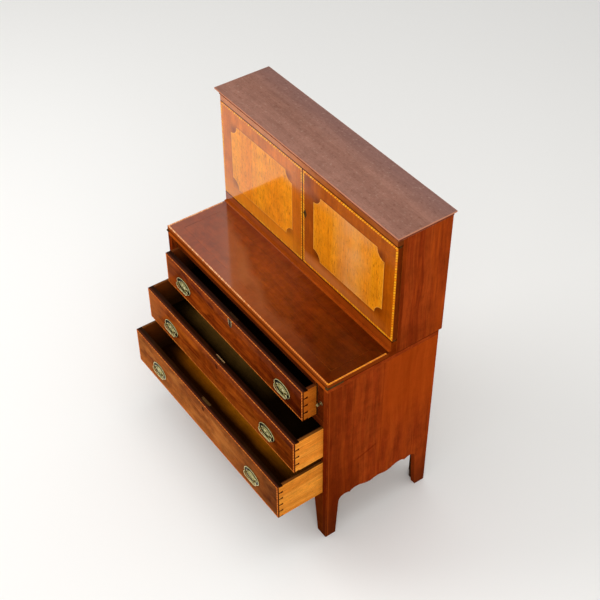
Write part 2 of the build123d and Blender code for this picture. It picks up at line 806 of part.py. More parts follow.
for drawer, escutcheon in (
    (Drawer(1, half_drawer_1, drawer_1_height, z_open_1, drawer_1_pull), True),
    (Drawer(2, half_drawer, drawer_2_height, z_open_2, drawer_2_pull), False),
    (Drawer(3, half_drawer, drawer_3_height, z_open_3, drawer_3_pull), False),
):
    save(drawer_front(drawer), f"{drawer.name}_front")
    save(drawer_box(drawer), f"{drawer.name}_box")
    save(drawer_bottom(drawer), f"{drawer.name}_bottom")
    save(drawer_lock(drawer, escutcheon), f"{drawer.name}_lock")
    save(handle_plates(drawer), f"{drawer.name}_handle_plates")
    save(bail(drawer, -1), f"{drawer.name}_bail_left")
    save(bail(drawer, 1), f"{drawer.name}_bail_right")

# Upper case


def upper_side():
    """The right-hand side of the cupboard, rebated for its back."""
    with BuildPart() as side:
        block((half_upper_in, half), (y_upper, y_upper_back), (z_sub_top_face, z_cornice))
        block((half_upper_in - over, half_upper_in + rebate_width),
              (y_upper_back - upper_back_thickness, y_upper_back + over),
              (z_sub_top_face - over, z_cornice + over), Mode.SUBTRACT)
    return side


save_pair(upper_side, "upper_side_right", "upper_side_left")

with BuildPart() as upper_back:
    block((-half_upper_in - rebate_width, half_upper_in + rebate_width),
          (y_upper_back - upper_back_thickness, y_upper_back), (z_sub_top_face, z_cornice))
save(upper_back, "upper_back")

pivot_place = (half - pivot_inset, y_door + door_thickness / 2)
pivot_x = (half - pivot_length, half)
pivot_y = (pivot_place[1] - pivot_width / 2, pivot_place[1] + pivot_width / 2)
pivot_cut_x = (pivot_x[0], half + over)

with BuildPart() as base_rail:
    block((-half, half), (y_door, y_upper), (z_sub_top_face, z_cupboard))
    block((-half, half), (y_door - bead_width, y_door), (z_sub_top_face, z_sub_top_face + bead_height))
    fillet(base_rail.edges().filter_by(Axis.X).group_by(Axis.Y)[0].sort_by(Axis.Z)[-1:],
           radius=bead_width / 2)
    for x in both_sides(*pivot_cut_x):
        block(x, pivot_y, (z_cupboard - pivot_thickness, z_cupboard + over), Mode.SUBTRACT)
save(base_rail, "base_rail")

with BuildPart() as frieze_rail:
    block((-half, half), (y_door, y_upper), (z_frieze, z_cornice))
    for x in both_sides(*pivot_cut_x):
        block(x, pivot_y, (z_frieze - over, z_frieze + pivot_thickness), Mode.SUBTRACT)
save(frieze_rail, "frieze_rail")

cupboard_y = (y_upper, y_upper_back - upper_back_thickness)

with BuildPart() as cupboard_floor:
    block((-half_upper_in, half_upper_in), cupboard_y, (z_cupboard - cupboard_floor_thickness, z_cupboard))
save(cupboard_floor, "cupboard_floor")

with BuildPart() as top_board:
    half_top = half + cornice_overhang
    cove = cornice_overhang - cornice_quirk
    plain = top_thickness - cornice_fillet - cove
    side_plane = Plane(origin=(-half_top, 0, 0), x_dir=(0, 1, 0), z_dir=(1, 0, 0))
    with BuildSketch(side_plane):
        with Locations((y_door - cornice_overhang, z_cornice)):
            Rectangle(upper_depth + cornice_overhang, top_thickness, align=(Align.MIN, Align.MIN))
            Rectangle(cove, plain, align=(Align.MIN, Align.MIN), mode=Mode.SUBTRACT)
        with Locations((y_door - cornice_overhang, z_cornice + plain)):
            Circle(cove, mode=Mode.SUBTRACT)
    extrude(amount=2 * half_top)
    back_plane = Plane(origin=(0, y_upper_back, 0), x_dir=(1, 0, 0), z_dir=(0, -1, 0))
    with BuildSketch(back_plane):
        with Locations((0, z_cornice)):
            Rectangle(2 * half_top, top_thickness, align=(Align.CENTER, Align.MIN))
        for end in (-half_top, half_top):
            with Locations((end, z_cornice)):
                Rectangle(2 * cove, 2 * plain, mode=Mode.SUBTRACT)
            with Locations((end, z_cornice + plain)):
                Circle(cove, mode=Mode.SUBTRACT)
    extrude(amount=upper_depth + cornice_overhang, mode=Mode.INTERSECT)
save(top_board, "top_board")

z_shelf = z_cupboard + shelf_height

with BuildPart() as pigeonholes:
    fitting_y = (cupboard_y[0] + shelf_setback, cupboard_y[1])
    block((-half_upper_in, half_upper_in), fitting_y, (z_shelf, z_shelf + shelf_thickness))
    bay = 2 * half_upper_in / (divider_count + 1)
    for number in range(divider_count):
        middle = bay * (number + 1) - half_upper_in
        block((middle - divider_thickness / 2, middle + divider_thickness / 2), fitting_y,
              (z_cupboard, z_shelf - glue_line))
save(pigeonholes, "pigeonholes")

# Doors

door_x = (door_meeting_gap / 2, half)
door_z = (z_door, z_door_top)
door_plane = Plane(origin=(0, y_door, 0), x_dir=(1, 0, 0), z_dir=(0, -1, 0))
door_core_plane = door_plane.offset(-veneer_thickness)
door_keyhole = (door_lock_inset, z_door + door_lock_height)


def panel_outline(clearance):
    """The satinwood panel's outline: a rectangle whose corners are cut back by quarter rounds."""
    width = door_x[1] - door_x[0] - 2 * panel_margin
    height = door_height - 2 * panel_margin
    with BuildSketch() as outline:
        with Locations(((door_x[0] + door_x[1]) / 2, (z_door + z_door_top) / 2)):
            Rectangle(width + 2 * clearance, height + 2 * clearance)
            with GridLocations(width, height, 2, 2):
                Circle(panel_corner_radius - clearance, mode=Mode.SUBTRACT)
    return outline.sketch


def door_core():
    """The right-hand door's board, with its pivot plates' housings at both ends."""
    with BuildPart() as door:
        block(door_x, (y_door + veneer_thickness, y_door_back), door_z)
        block(pivot_cut_x, pivot_y, (z_door - over, z_door + pivot_thickness), Mode.SUBTRACT)
        block(pivot_cut_x, pivot_y, (z_door_top - pivot_thickness, z_door_top + over), Mode.SUBTRACT)
    return door


def door_panel():
    """The veneered satinwood panel of the right-hand door."""
    with BuildPart() as panel:
        with BuildSketch(door_core_plane):
            add(panel_outline(0))
        extrude(amount=veneer_thickness)
    return panel


def door_banding():
    """The crossbanded surround of the right-hand door and the inlaid line along its edges."""
    with BuildPart() as banding:
        with BuildSketch(door_core_plane):
            frame_between(door_x, door_z, 0, string_width)
        extrude(amount=veneer_thickness)
        with BuildSketch(door_core_plane):
            with Locations(((door_x[0] + door_x[1]) / 2, (z_door + z_door_top) / 2)):
                Rectangle(door_x[1] - door_x[0] - 2 * (string_width + glue_line),
                          door_height - 2 * (string_width + glue_line))
            add(panel_outline(glue_line), mode=Mode.SUBTRACT)
            mitre_cuts(door_x, door_z, 2 * (panel_margin + panel_corner_radius))
        extrude(amount=veneer_thickness)
    return banding


def cut_keyhole(piece, depth):
    """Cuts the door's keyhole through a finished piece, from the front."""
    with BuildPart() as cut:
        add(piece.part)
        with BuildSketch(door_plane):
            keyhole(*door_keyhole)
        extrude(amount=-depth, mode=Mode.SUBTRACT)
    return cut


def mirrored(piece):
    """The left-hand twin of a right-hand piece."""
    with BuildPart() as twin:
        add(piece.part)
        mirror(about=Plane.YZ, mode=Mode.REPLACE)
    return twin


core = door_core()
save(mirrored(core), "door_left")
lock_x = (door_meeting_gap, door_meeting_gap + door_lock_width)
lock_low = door_keyhole[1] - door_lock_drop
lock_z = (lock_low, lock_low + 2 * door_lock_drop)
lock_y = (y_door_back - lock_plate - lock_case_depth, y_door_back)
with BuildPart() as door_right:
    add(cut_keyhole(core, door_thickness).part)
    block(lock_x, (lock_y[0], lock_y[1] + over), lock_z, Mode.SUBTRACT)
save(door_right, "door_right")

save_pair(door_panel, "door_right_panel", "door_left_panel")
banding = door_banding()
save(mirrored(banding), "door_left_banding")
save(cut_keyhole(banding, veneer_thickness), "door_right_banding")

with BuildPart() as door_lock:
    block(lock_x, lock_y, lock_z)
    with BuildSketch(door_plane):
        with Locations(door_keyhole):
            Polygon((lozenge_width / 2, 0), (0, lozenge_height / 2), (-lozenge_width / 2, 0),
                    (0, -lozenge_height / 2), align=None)
        keyhole(*door_keyhole, Mode.SUBTRACT)
    extrude(amount=escutcheon_thickness)
save(door_lock, "door_lock")

# Pivot hinges of the doors: plates let into the rails and the doors' ends, with a pin between each pair


def pivot_round(radius, stretches, inner=False):
    """Round stretches on the right-hand door's turning line; an inner one clears the given radius."""
    with BuildPart() as rounds:
        for low, high in stretches:
            with BuildSketch(Plane.XY.offset(low)):
                with Locations(pivot_place):
                    RegularPolygon(radius, hinge_sides, major_radius=not inner)
            extrude(amount=high - low)
    return rounds.part


with BuildPart() as door_hinges_fixed:
    block(pivot_x, pivot_y, (z_cupboard - pivot_thickness, z_cupboard))
    block(pivot_x, pivot_y, (z_frieze, z_frieze + pivot_thickness))
    pin_reach = pivot_thickness - pivot_play
    for radius, reach in ((pivot_washer_radius, -pivot_play), (pivot_pin_radius, pin_reach)):
        add(pivot_round(radius, ((z_cupboard, z_door + reach), (z_door_top - reach, z_frieze))))
    mirror(about=Plane.YZ)
save(door_hinges_fixed, "door_hinges_fixed")

with BuildPart() as door_right_hinges:
    plate_stretches = ((z_door, z_door + pivot_thickness), (z_door_top - pivot_thickness, z_door_top))
    for stretch in plate_stretches:
        block(pivot_x, pivot_y, stretch)
    add(pivot_round(pivot_pin_radius + hinge_pin_clearance, plate_stretches, True), mode=Mode.SUBTRACT)
save(door_right_hinges, "door_right_hinges")
save(mirrored(door_right_hinges), "door_left_hinges")
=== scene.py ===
import bmesh
import bpy
from math import cos, pi, radians, sin
from mathutils import Matrix, Vector


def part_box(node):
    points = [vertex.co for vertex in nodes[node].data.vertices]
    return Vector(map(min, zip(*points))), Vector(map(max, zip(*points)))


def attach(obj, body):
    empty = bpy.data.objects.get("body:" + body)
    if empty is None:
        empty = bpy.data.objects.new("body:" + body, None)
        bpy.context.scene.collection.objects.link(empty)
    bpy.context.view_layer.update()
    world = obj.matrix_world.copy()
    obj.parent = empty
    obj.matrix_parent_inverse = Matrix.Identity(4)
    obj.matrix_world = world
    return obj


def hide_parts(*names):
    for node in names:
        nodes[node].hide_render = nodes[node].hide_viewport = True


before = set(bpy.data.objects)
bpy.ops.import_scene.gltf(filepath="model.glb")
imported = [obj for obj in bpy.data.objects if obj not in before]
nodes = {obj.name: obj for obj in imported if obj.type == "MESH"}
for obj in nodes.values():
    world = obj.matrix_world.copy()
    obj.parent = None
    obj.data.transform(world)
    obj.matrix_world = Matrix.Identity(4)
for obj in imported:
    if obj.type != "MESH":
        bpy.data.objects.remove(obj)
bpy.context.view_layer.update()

# Lengths and places are in metres, and small ones are written as millimetres times MM
MM = 0.001

# Corners of the leaf and of the right-hand side, read from the frame
leaf_low, leaf_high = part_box("leaf")
side_low, side_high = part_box("side_right")


# Nodes, masks and colours

def fill(tree, made, sockets):
    """Links the sockets that are given another socket, and sets the others."""
    for name, value in sockets.items():
        if isinstance(value, bpy.types.NodeSocket):
            tree.links.new(value, made.inputs[name])
        else:
            made.inputs[name].default_value = value
    return made


def put(tree, kind, sockets=None, **settings):
    """Adds a node, gives it its settings, and sets or links its sockets."""
    made = tree.nodes.new("ShaderNode" + kind)
    for name, value in settings.items():
        setattr(made, name, value)
    return fill(tree, made, sockets or {})


def reckon(tree, operation, *values):
    """The result of one sum on numbers or sockets."""
    return put(tree, "Math", dict(enumerate(values)), operation=operation).outputs[0]


def reckon_vector(tree, operation, first, second):
    """The vector that one sum on two vectors gives."""
    return put(tree, "VectorMath", {0: first, 1: second}, operation=operation).outputs[0]


def between(tree, value, low, high, new_low=0.0, new_high=1.0):
    """A value brought from one range to another, and held inside it."""
    return put(tree, "MapRange", {0: value, 1: low, 2: high, 3: new_low, 4: new_high}).outputs[0]


def product(tree, *masks):
    """Masks multiplied: only what lies in all of them stays."""
    result = masks[0]
    for mask in masks[1:]:
        result = reckon(tree, "MULTIPLY", result, mask)
    return result


def distance(tree, value, place):
    """How far a value is from a place, either way."""
    return reckon(tree, "ABSOLUTE", reckon(tree, "SUBTRACT", value, place))


def tinted(tree, share, first, second, way="MIX"):
    """Two colours laid over each other by a share."""
    made = put(tree, "Mix", {0: share, 6: first, 7: second}, data_type="RGBA", blend_type=way)
    return made.outputs[2]


def noise(tree, vector, scale=1.0, detail=4.0, roughness=0.5, distortion=0.0):
    """Soft noise about a half."""
    sockets = {"Vector": vector, "Scale": scale, "Detail": detail, "Roughness": roughness,
               "Distortion": distortion}
    return put(tree, "TexNoise", sockets).outputs[0]


def stretched_noise(tree, vector, stretch, detail=3.0, distortion=0.0):
    """Noise drawn out along X, for anything that runs with the grain."""
    mapped = put(tree, "Mapping", {"Vector": vector, "Scale": stretch}).outputs[0]
    return noise(tree, mapped, detail=detail, roughness=0.6, distortion=distortion)


def toss(tree, steps):
    """A share of its own for each whole step."""
    whole = reckon(tree, "FLOOR", steps)
    return put(tree, "TexWhiteNoise", {"W": whole}, noise_dimensions="1D").outputs[0]


def paint(red, green, blue):
    """A colour from the eight-bit values that a screen shows it with."""
    parts = [value / 255 for value in (red, green, blue)]
    linear = [part / 12.92 if part <= 0.04045 else ((part + 0.055) / 1.055) ** 2.4 for part in parts]
    return *linear, 1.0


def paints(*colours):
    """Several such colours, from dark to light where they are the tones of one material."""
    return tuple(paint(*colour) for colour in colours)


# Camera, floor and light

# The photograph's view: its turn to the right, its rise, its roll, its place and its long lens
CAMERA_TURN, CAMERA_RISE, CAMERA_ROLL = radians(54.59), radians(43.06), radians(-0.4)
CAMERA_PLACE = (2.29965, -1.53696, 3.25109)
LENS_MM, FILM_MM = 70.89, 36

WHITE = (1, 1, 1, 1)
FLOOR_REACH = 14
SURROUND_LIGHT = 0.6
LAMPS_FACE = Vector((0, 0, 0.6))

# Each lamp's name, place, width and power in watts
LAMPS = (
    ("left_lamp", (-2.6, -2.2, 3.2), 2.6, 70),
    ("right_lamp", (2.8, -1.4, 2.6), 2.2, 34),
    ("high_lamp", (0.2, 0.4, 4.2), 3.0, 34),
)


def place_camera():
    """The camera of the photograph: from the right and from above."""
    level = cos(CAMERA_RISE)
    back = Vector((sin(CAMERA_TURN) * level, -cos(CAMERA_TURN) * level, sin(CAMERA_RISE)))
    right = Vector((0, 0, 1)).cross(back).normalized()
    up = back.cross(right)
    rolled_right = right * cos(CAMERA_ROLL) + up * sin(CAMERA_ROLL)
    rolled_up = up * cos(CAMERA_ROLL) - right * sin(CAMERA_ROLL)
    turn = Matrix((rolled_right, rolled_up, back)).transposed().to_4x4()
    camera = bpy.data.objects.new("photo_camera", bpy.data.cameras.new("photo_camera"))
    camera.data.lens = LENS_MM
    camera.data.sensor_width = FILM_MM
    camera.matrix_world = Matrix.Translation(CAMERA_PLACE) @ turn
    bpy.context.scene.collection.objects.link(camera)
    bpy.context.scene.camera = camera


def lay_floor():
    """A plain pale floor."""
    grid = bmesh.new()
    bmesh.ops.create_grid(grid, x_segments=1, y_segments=1, size=FLOOR_REACH)
    mesh = bpy.data.meshes.new("studio_floor")
    grid.to_mesh(mesh)
    grid.free()
    floor = bpy.data.objects.new("studio_floor", mesh)
    bpy.context.scene.collection.objects.link(floor)
    material = bpy.data.materials.new("pale_floor")
    material.use_nodes = True
    tree = material.node_tree
    fill(tree, tree.nodes["Principled BSDF"], {"Base Color": paint(244, 243, 240), "Roughness": 0.85,
                                               "Specular IOR Level": 0.2})
    mesh.materials.append(material)


def light_surround():
    """A surround that looks white, and lights the cabinet more softly than it looks."""
    world = bpy.data.worlds.new("white_surround")
    bpy.context.scene.world = world
    world.use_nodes = True
    tree = world.node_tree
    tree.nodes.clear()
    path = put(tree, "LightPath").outputs
    seen = reckon(tree, "MAXIMUM", path["Is Camera Ray"], path["Is Glossy Ray"])
    seen = reckon(tree, "MAXIMUM", seen, path["Is Transmission Ray"])
    soft = put(tree, "Background", {"Color": WHITE, "Strength": SURROUND_LIGHT})
    white = put(tree, "Background", {"Color": WHITE, "Strength": 1.0})
    shown = put(tree, "MixShader", {0: seen, 1: soft.outputs[0], 2: white.outputs[0]})
    put(tree, "OutputWorld", {0: shown.outputs[0]})


def hang_lamps():
    """Three large soft lamps that the polish does not mirror."""
    for name, place, width, power in LAMPS:
        lamp = bpy.data.objects.new(name, bpy.data.lights.new(name, "AREA"))
        lamp.data.shape = "DISK"
        lamp.data.size = width
        lamp.data.energy = power
        lamp.visible_glossy = False
        lamp.location = place
        lamp.rotation_euler = (Vector(place) - LAMPS_FACE).to_track_quat("Z", "Y").to_euler()
        bpy.context.scene.collection.objects.link(lamp)


# Shared effects, each a group with named inputs and outputs

def new_effect(name, inputs, outputs):
    """An empty node group with its named sockets; gives the group and its two ends."""
    group = bpy.data.node_groups.new(name, "ShaderNodeTree")
    for socket, kind, value in inputs:
        made = group.interface.new_socket(socket, in_out="INPUT", socket_type="NodeSocket" + kind)
        made.default_value = value
    for socket, kind in outputs:
        group.interface.new_socket(socket, in_out="OUTPUT", socket_type="NodeSocket" + kind)
    entry = group.nodes.new("NodeGroupInput")
    end = group.nodes.new("NodeGroupOutput")
    return group, entry.outputs, end.inputs


# How often each part of the grain repeats in a metre: along the grain, and twice across it
FIBRE_REPEATS = (9.0, 260.0, 260.0)
PORE_REPEATS = (42.0, 1500.0, 1500.0)
RIBBON_REPEATS = (2.0, 62.0, 62.0)
BAND_REPEATS_ALONG = 1.3
GRAIN_SWAY = 35 * MM
PORE_COLOUR = (0.01, 0.003, 0.001, 1)


def make_wood_grain():
    """Timber: bands of growth, fibres, short dark pores, a ribbon figure and a soft mottle."""
    group, entry, end = new_effect("wood_grain", (
        ("Vector", "Vector", (0, 0, 0)), ("Dark", "Color", paint(80, 25, 8)),
        ("Middle", "Color", paint(120, 50, 20)), ("Light", "Color", paint(160, 80, 35)),
        ("Bands", "Float", 14.0), ("Pores", "Float", 0.4), ("Ribbon", "Float", 0.3),
        ("Mottle", "Float", 0.12), ("Fibre", "Float", 0.12)),
        (("Color", "Color"), ("Height", "Float")))
    place = entry["Vector"]
    flow = put(group, "TexNoise", {"Vector": place, "Scale": 3.0, "Detail": 2.0}).outputs["Color"]
    sway = reckon_vector(group, "SUBTRACT", flow, (0.5, 0.5, 0.5))
    sway = reckon_vector(group, "MULTIPLY", sway, (0.0, GRAIN_SWAY, GRAIN_SWAY))
    vector = reckon_vector(group, "ADD", place, sway)
    across = entry["Bands"]
    repeats = put(group, "CombineXYZ", {0: BAND_REPEATS_ALONG, 1: across, 2: across}).outputs[0]
    banded = reckon_vector(group, "MULTIPLY", vector, repeats)
    bands = noise(group, banded, detail=6.0, roughness=0.62)
    fibres = stretched_noise(group, vector, FIBRE_REPEATS)
    pores = stretched_noise(group, vector, PORE_REPEATS, detail=1.0)
    ribbon = stretched_noise(group, vector, RIBBON_REPEATS, detail=2.0, distortion=0.6)
    clouds = noise(group, place, 26.0, detail=5.0, roughness=0.6)
    body = tinted(group, between(group, bands, 0.36, 0.62), entry["Dark"], entry["Middle"])
    glow = product(group, between(group, ribbon, 0.45, 0.68), entry["Ribbon"])
    body = tinted(group, glow, body, entry["Light"])
    for source, depth in ((fibres, entry["Fibre"]), (clouds, entry["Mottle"])):
        low = reckon(group, "SUBTRACT", 1.0, depth)
        high = reckon(group, "ADD", 1.0, depth)
        level = between(group, source, 0.32, 0.68, low, high)
        shade = put(group, "CombineColor", {0: level, 1: level, 2: level}).outputs[0]
        body = tinted(group, 1.0, body, shade, "MULTIPLY")
    hollow = product(group, between(group, pores, 0.56, 0.7), entry["Pores"])
    body = tinted(group, hollow, body, tinted(group, 0.75, body, PORE_COLOUR))
    group.links.new(body, end["Color"])
    raised = reckon(group, "SUBTRACT", reckon(group, "MULTIPLY", fibres, 0.5), hollow)
    group.links.new(raised, end["Height"])
    return group


def make_frame_place():
    """Where a point lies in a rectangle: how far in, how far along, and whether it is at an end."""
    group, entry, end = new_effect("frame_place", (
        ("U", "Float", 0.0), ("V", "Float", 0.0), ("Low U", "Float", -1.0), ("High U", "Float", 1.0),
        ("Low V", "Float", -1.0), ("High V", "Float", 1.0)),
        (("Inset", "Float"), ("Along", "Float"), ("End", "Float")))
    from_ends = reckon(group, "MINIMUM", reckon(group, "SUBTRACT", entry["U"], entry["Low U"]),
                       reckon(group, "SUBTRACT", entry["High U"], entry["U"]))
    from_rims = reckon(group, "MINIMUM", reckon(group, "SUBTRACT", entry["V"], entry["Low V"]),
                       reckon(group, "SUBTRACT", entry["High V"], entry["V"]))
    at_end = reckon(group, "LESS_THAN", from_ends, from_rims)
    along = put(group, "Mix", {0: at_end, 2: entry["U"], 3: entry["V"]}, data_type="FLOAT").outputs[0]
    group.links.new(reckon(group, "MINIMUM", from_ends, from_rims), end["Inset"])
    group.links.new(along, end["Along"])
    group.links.new(at_end, end["End"])
    return group


def make_rope_inlay():
    """The inlaid line: light slanting dashes parted by thin dark ticks, like a laid rope."""
    group, entry, end = new_effect("rope_inlay", (
        ("Inset", "Float", 0.0), ("Along", "Float", 0.0), ("Width", "Float", 6 * MM),
        ("Pitch", "Float", 13 * MM), ("Light", "Color", paint(250, 176, 50)),
        ("Middle", "Color", paint(226, 122, 20)), ("Tick", "Color", paint(104, 42, 6))),
        (("Color", "Color"), ("Mask", "Float")))
    slant_share = 0.55
    across = reckon(group, "DIVIDE", entry["Inset"], entry["Width"])
    steps = reckon(group, "ADD", reckon(group, "DIVIDE", entry["Along"], entry["Pitch"]),
                   reckon(group, "MULTIPLY", across, slant_share))
    stroke = reckon(group, "FRACT", steps)
    tone = toss(group, steps)
    ticks = reckon(group, "MAXIMUM", between(group, stroke, 0.14, 0.08), between(group, stroke, 0.86, 0.92))
    rims = between(group, distance(group, across, 0.5), 0.40, 0.47, 0.0, 0.7)
    dark = reckon(group, "MAXIMUM", reckon(group, "MULTIPLY", ticks, 0.85), rims)
    dashes = tinted(group, tone, entry["Light"], entry["Middle"])
    group.links.new(tinted(group, dark, dashes, entry["Tick"]), end["Color"])
    inside = reckon(group, "GREATER_THAN", entry["Inset"], -1 * MM)
    near = reckon(group, "LESS_THAN", entry["Inset"], entry["Width"])
    group.links.new(product(group, inside, near), end["Mask"])
    return group


def make_rubbed_edges():
    """Where hands and years have rubbed the arrises."""
    group, entry, end = new_effect("rubbed_edges", (
        ("Radius", "Float", 2 * MM), ("Amount", "Float", 0.6)), (("Mask", "Float"),))
    rounded = put(group, "Bevel", {"Radius": entry["Radius"]}, samples=6).outputs[0]
    flat = put(group, "NewGeometry").outputs["Normal"]
    turn = put(group, "VectorMath", {0: rounded, 1: flat}, operation="DOT_PRODUCT").outputs[1]
    patches = noise(group, put(group, "TexCoord").outputs["Object"], 38.0)
    worn = product(group, between(group, turn, 0.995, 0.9), between(group, patches, 0.35, 0.6))
    group.links.new(product(group, worn, entry["Amount"]), end["Mask"])
    return group


def make_settled_dust():
    """Dust and dulled polish on faces that look upwards."""
    group, entry, end = new_effect("settled_dust", (("Amount", "Float", 0.3),), (("Mask", "Float"),))
    up = put(group, "SeparateXYZ", {0: put(group, "NewGeometry").outputs["Normal"]}).outputs[2]
    clouds = noise(group, put(group, "TexCoord").outputs["Object"], 9.0, detail=6.0, roughness=0.65)
    lying = product(group, between(group, up, 0.6, 0.95), between(group, clouds, 0.3, 0.75))
    group.links.new(product(group, lying, entry["Amount"]), end["Mask"])
    return group


wood_grain = make_wood_grain()
frame_place = make_frame_place()
rope_inlay = make_rope_inlay()
rubbed_edges = make_rubbed_edges()
settled_dust = make_settled_dust()

GRAIN_TURNS = {"X": (0, 0, 0), "Y": (0, 0, pi / 2), "Z": (0, pi / 2, 0)}
SHIFT_SHARES = (1.0, 1.7, 0.6)
WORN_TIMBER = paint(186, 92, 26)
WORN_BRASS = paint(240, 232, 196)
DUST = paint(150, 124, 104)
RUBBED_REACH = 2.2 * MM


def effect(tree, group, **sockets):
    """Places a shared effect with its own values; a socket's spaces are written as underscores."""
    made = tree.nodes.new("ShaderNodeGroup")
    made.node_tree = group
    return fill(tree, made, {name.replace("_", " "): value for name, value in sockets.items()}).outputs


class Finish:
    """A material in the making: its tree, its shader, its coordinates and the colour so far."""

    def __init__(self, name, roughness=0.45, coat=0.0, metallic=0.0, shine=0.0):
        self.material = bpy.data.materials.new(name)
        self.material.use_nodes = True
        self.tree = self.material.node_tree
        self.shader = self.tree.nodes["Principled BSDF"]
        self.roughness = roughness
        self.coat = coat
        fill(self.tree, self.shader, {"Roughness": roughness, "Coat Weight": coat, "Coat Roughness": 0.1,
                                      "Metallic": metallic, "Specular IOR Level": shine})
        self.place = put(self.tree, "TexCoord").outputs["Object"]
        self.x, self.y, self.z = put(self.tree, "SeparateXYZ", {0: self.place}).outputs
        normal = put(self.tree, "NewGeometry").outputs["Normal"]
        self.facing_x, self.facing_y, self.facing_z = put(self.tree, "SeparateXYZ", {0: normal}).outputs
        self.colour = None
        self.height = None

    def along(self, grain, shift):
        """The object's coordinates, turned so that the grain runs along X, and shifted to another log."""
        moved = [shift * share for share in SHIFT_SHARES]
        sockets = {"Vector": self.place, "Location": moved, "Rotation": GRAIN_TURNS[grain]}
        return put(self.tree, "Mapping", sockets).outputs[0]

    def clouds(self, scale, detail=5.0):
        """Soft patches on the object's coordinates."""
        return noise(self.tree, self.place, scale, detail)

    def streaks(self, grain, shift, repeats, detail=3.0, distortion=0.0):
        """Streaks with the grain, by their repeats in a metre along it and across it."""
        return stretched_noise(self.tree, self.along(grain, shift), repeats, detail, distortion)

    def fade(self, value, ends, at_start=0.0, at_end=1.0, base=0.0):
        """A mask that goes from one level to another between two places, counted from a third."""
        start, end = ends
        return between(self.tree, value, base + start, base + end, at_start, at_end)

    def line(self, value, place, halves, share=1.0):
        """A mask of a line: gone past its outer half width, and full within its inner one."""
        return self.fade(distance(self.tree, value, place), halves, 0.0, share)

    def meet(self, *masks):
        """Where all the masks meet; a plain number thins them."""
        return product(self.tree, *masks)

    def facing(self, axis, way):
        """A mask of the faces that look along an axis, one way or the other."""
        look = {"x": self.facing_x, "y": self.facing_y, "z": self.facing_z}[axis]
        return self.fade(look, (way * 0.6, way * 0.9))

    def squares(self, first, second):
        """The sum of two squares, for round stains and corners."""
        return reckon(self.tree, "ADD", reckon(self.tree, "POWER", first, 2.0),
                      reckon(self.tree, "POWER", second, 2.0))

    def spot(self, u, v, low, high):
        """Where a point lies in the rectangle between two corners, on two of the axes."""
        return effect(self.tree, frame_place, U=u, V=v, Low_U=low[0], High_U=high[0], Low_V=low[1],
                      High_V=high[1])

    def rope(self, spot, width, pitch, light, middle, tick):
        """The inlaid line at the rim of such a rectangle: its colour and its mask."""
        line = effect(self.tree, rope_inlay, Inset=spot["Inset"], Along=spot["Along"], Width=width,
                      Pitch=pitch, Light=light, Middle=middle, Tick=tick)
        return line["Color"], line["Mask"]

    def timber(self, vector, dark, middle, light, bands=14.0, pores=0.4, ribbon=0.3, mottle=0.12,
               fibre=0.12):
        """Lays the grain as the first colour."""
        grain = effect(self.tree, wood_grain, Vector=vector, Dark=dark, Middle=middle, Light=light,
                       Bands=bands, Pores=pores, Ribbon=ribbon, Mottle=mottle, Fibre=fibre)
        self.colour = grain["Color"]
        self.height = grain["Height"]

    def over(self, share, colour, way="MIX"):
        """Lays a colour over what is there, by a mask."""
        self.colour = tinted(self.tree, share, self.colour, colour, way)

    def darken(self, share, level, warm=0.8):
        """Deepens what is there by a mask; a low warm share leaves it redder."""
        self.over(share, (level, level * warm, level * warm * warm, 1), "MULTIPLY")

    def rub(self, amount, colour, *masks):
        """Lays the rubbed arrises' colour, where other masks allow it."""
        rubbed = effect(self.tree, rubbed_edges, Radius=RUBBED_REACH, Amount=amount)["Mask"]
        self.over(self.meet(rubbed, *masks), colour)

    def done(self, bump=0.2, depth=0.4 * MM, wear=0.5, worn=WORN_TIMBER, dust=0.0, polished=None):
        """Adds wear and dust, and links what varies to the shader."""
        if wear:
            self.rub(wear, worn)
        if dust:
            self.over(effect(self.tree, settled_dust, Amount=dust)["Mask"], DUST)
        sheen = self.fade(self.clouds(14.0), (0.3, 0.7), self.roughness - 0.06, self.roughness + 0.1)
        varied = {"Base Color": self.colour, "Roughness": sheen}
        if polished is not None:
            varied["Coat Weight"] = self.meet(polished, self.coat)
        if self.height is not None:
            raised = put(self.tree, "Bump", {"Strength": bump, "Distance": depth, "Height": self.height})
            varied["Normal"] = raised.outputs[0]
        fill(self.tree, self.shader, varied)
        return self.material


def dress(material, *names):
    """Gives CAD nodes their finish."""
    for name in names:
        slots = nodes[name].data.materials
        for number in range(len(slots)):
            slots[number] = material


# Mahogany and pine in their tones: dark, middle and light
DEEP_RED = paints((70, 24, 4), (100, 36, 6), (134, 56, 10))
SIDE_RED = paints((128, 43, 12), (150, 57, 17), (178, 80, 26))
TOP_BROWN = paints((132, 92, 78), (147, 105, 90), (162, 120, 104))
FRIEZE_RED = paints((184, 98, 44), (202, 118, 60), (220, 138, 76))
RAIL_RED = paints((148, 62, 12), (170, 79, 18), (194, 102, 32))
LEAF_RED = paints((110, 40, 4), (130, 53, 8), (150, 68, 13))
BORDER_RED = paints((122, 47, 6), (130, 53, 8), (140, 61, 11))
PINE = paints((112, 68, 26), (150, 100, 46), (176, 128, 66))
# Pine made nearly black as painted shade, for the foot brackets and loper partitions under and inside the
# case
SHADED_PINE = paints((40, 22, 10), (60, 34, 14), (84, 50, 22))

# The doors' surrounds and panels
EDGING_TONES = {"left": paints((196, 98, 5), (220, 114, 8), (240, 138, 15)),
                "right": paints((154, 68, 3), (174, 83, 5), (194, 99, 9))}
PANEL_TONES = {"left": paints((236, 132, 8), (250, 154, 14), (255, 178, 36)),
               "right": paints((222, 124, 12), (236, 144, 18), (244, 166, 38))}
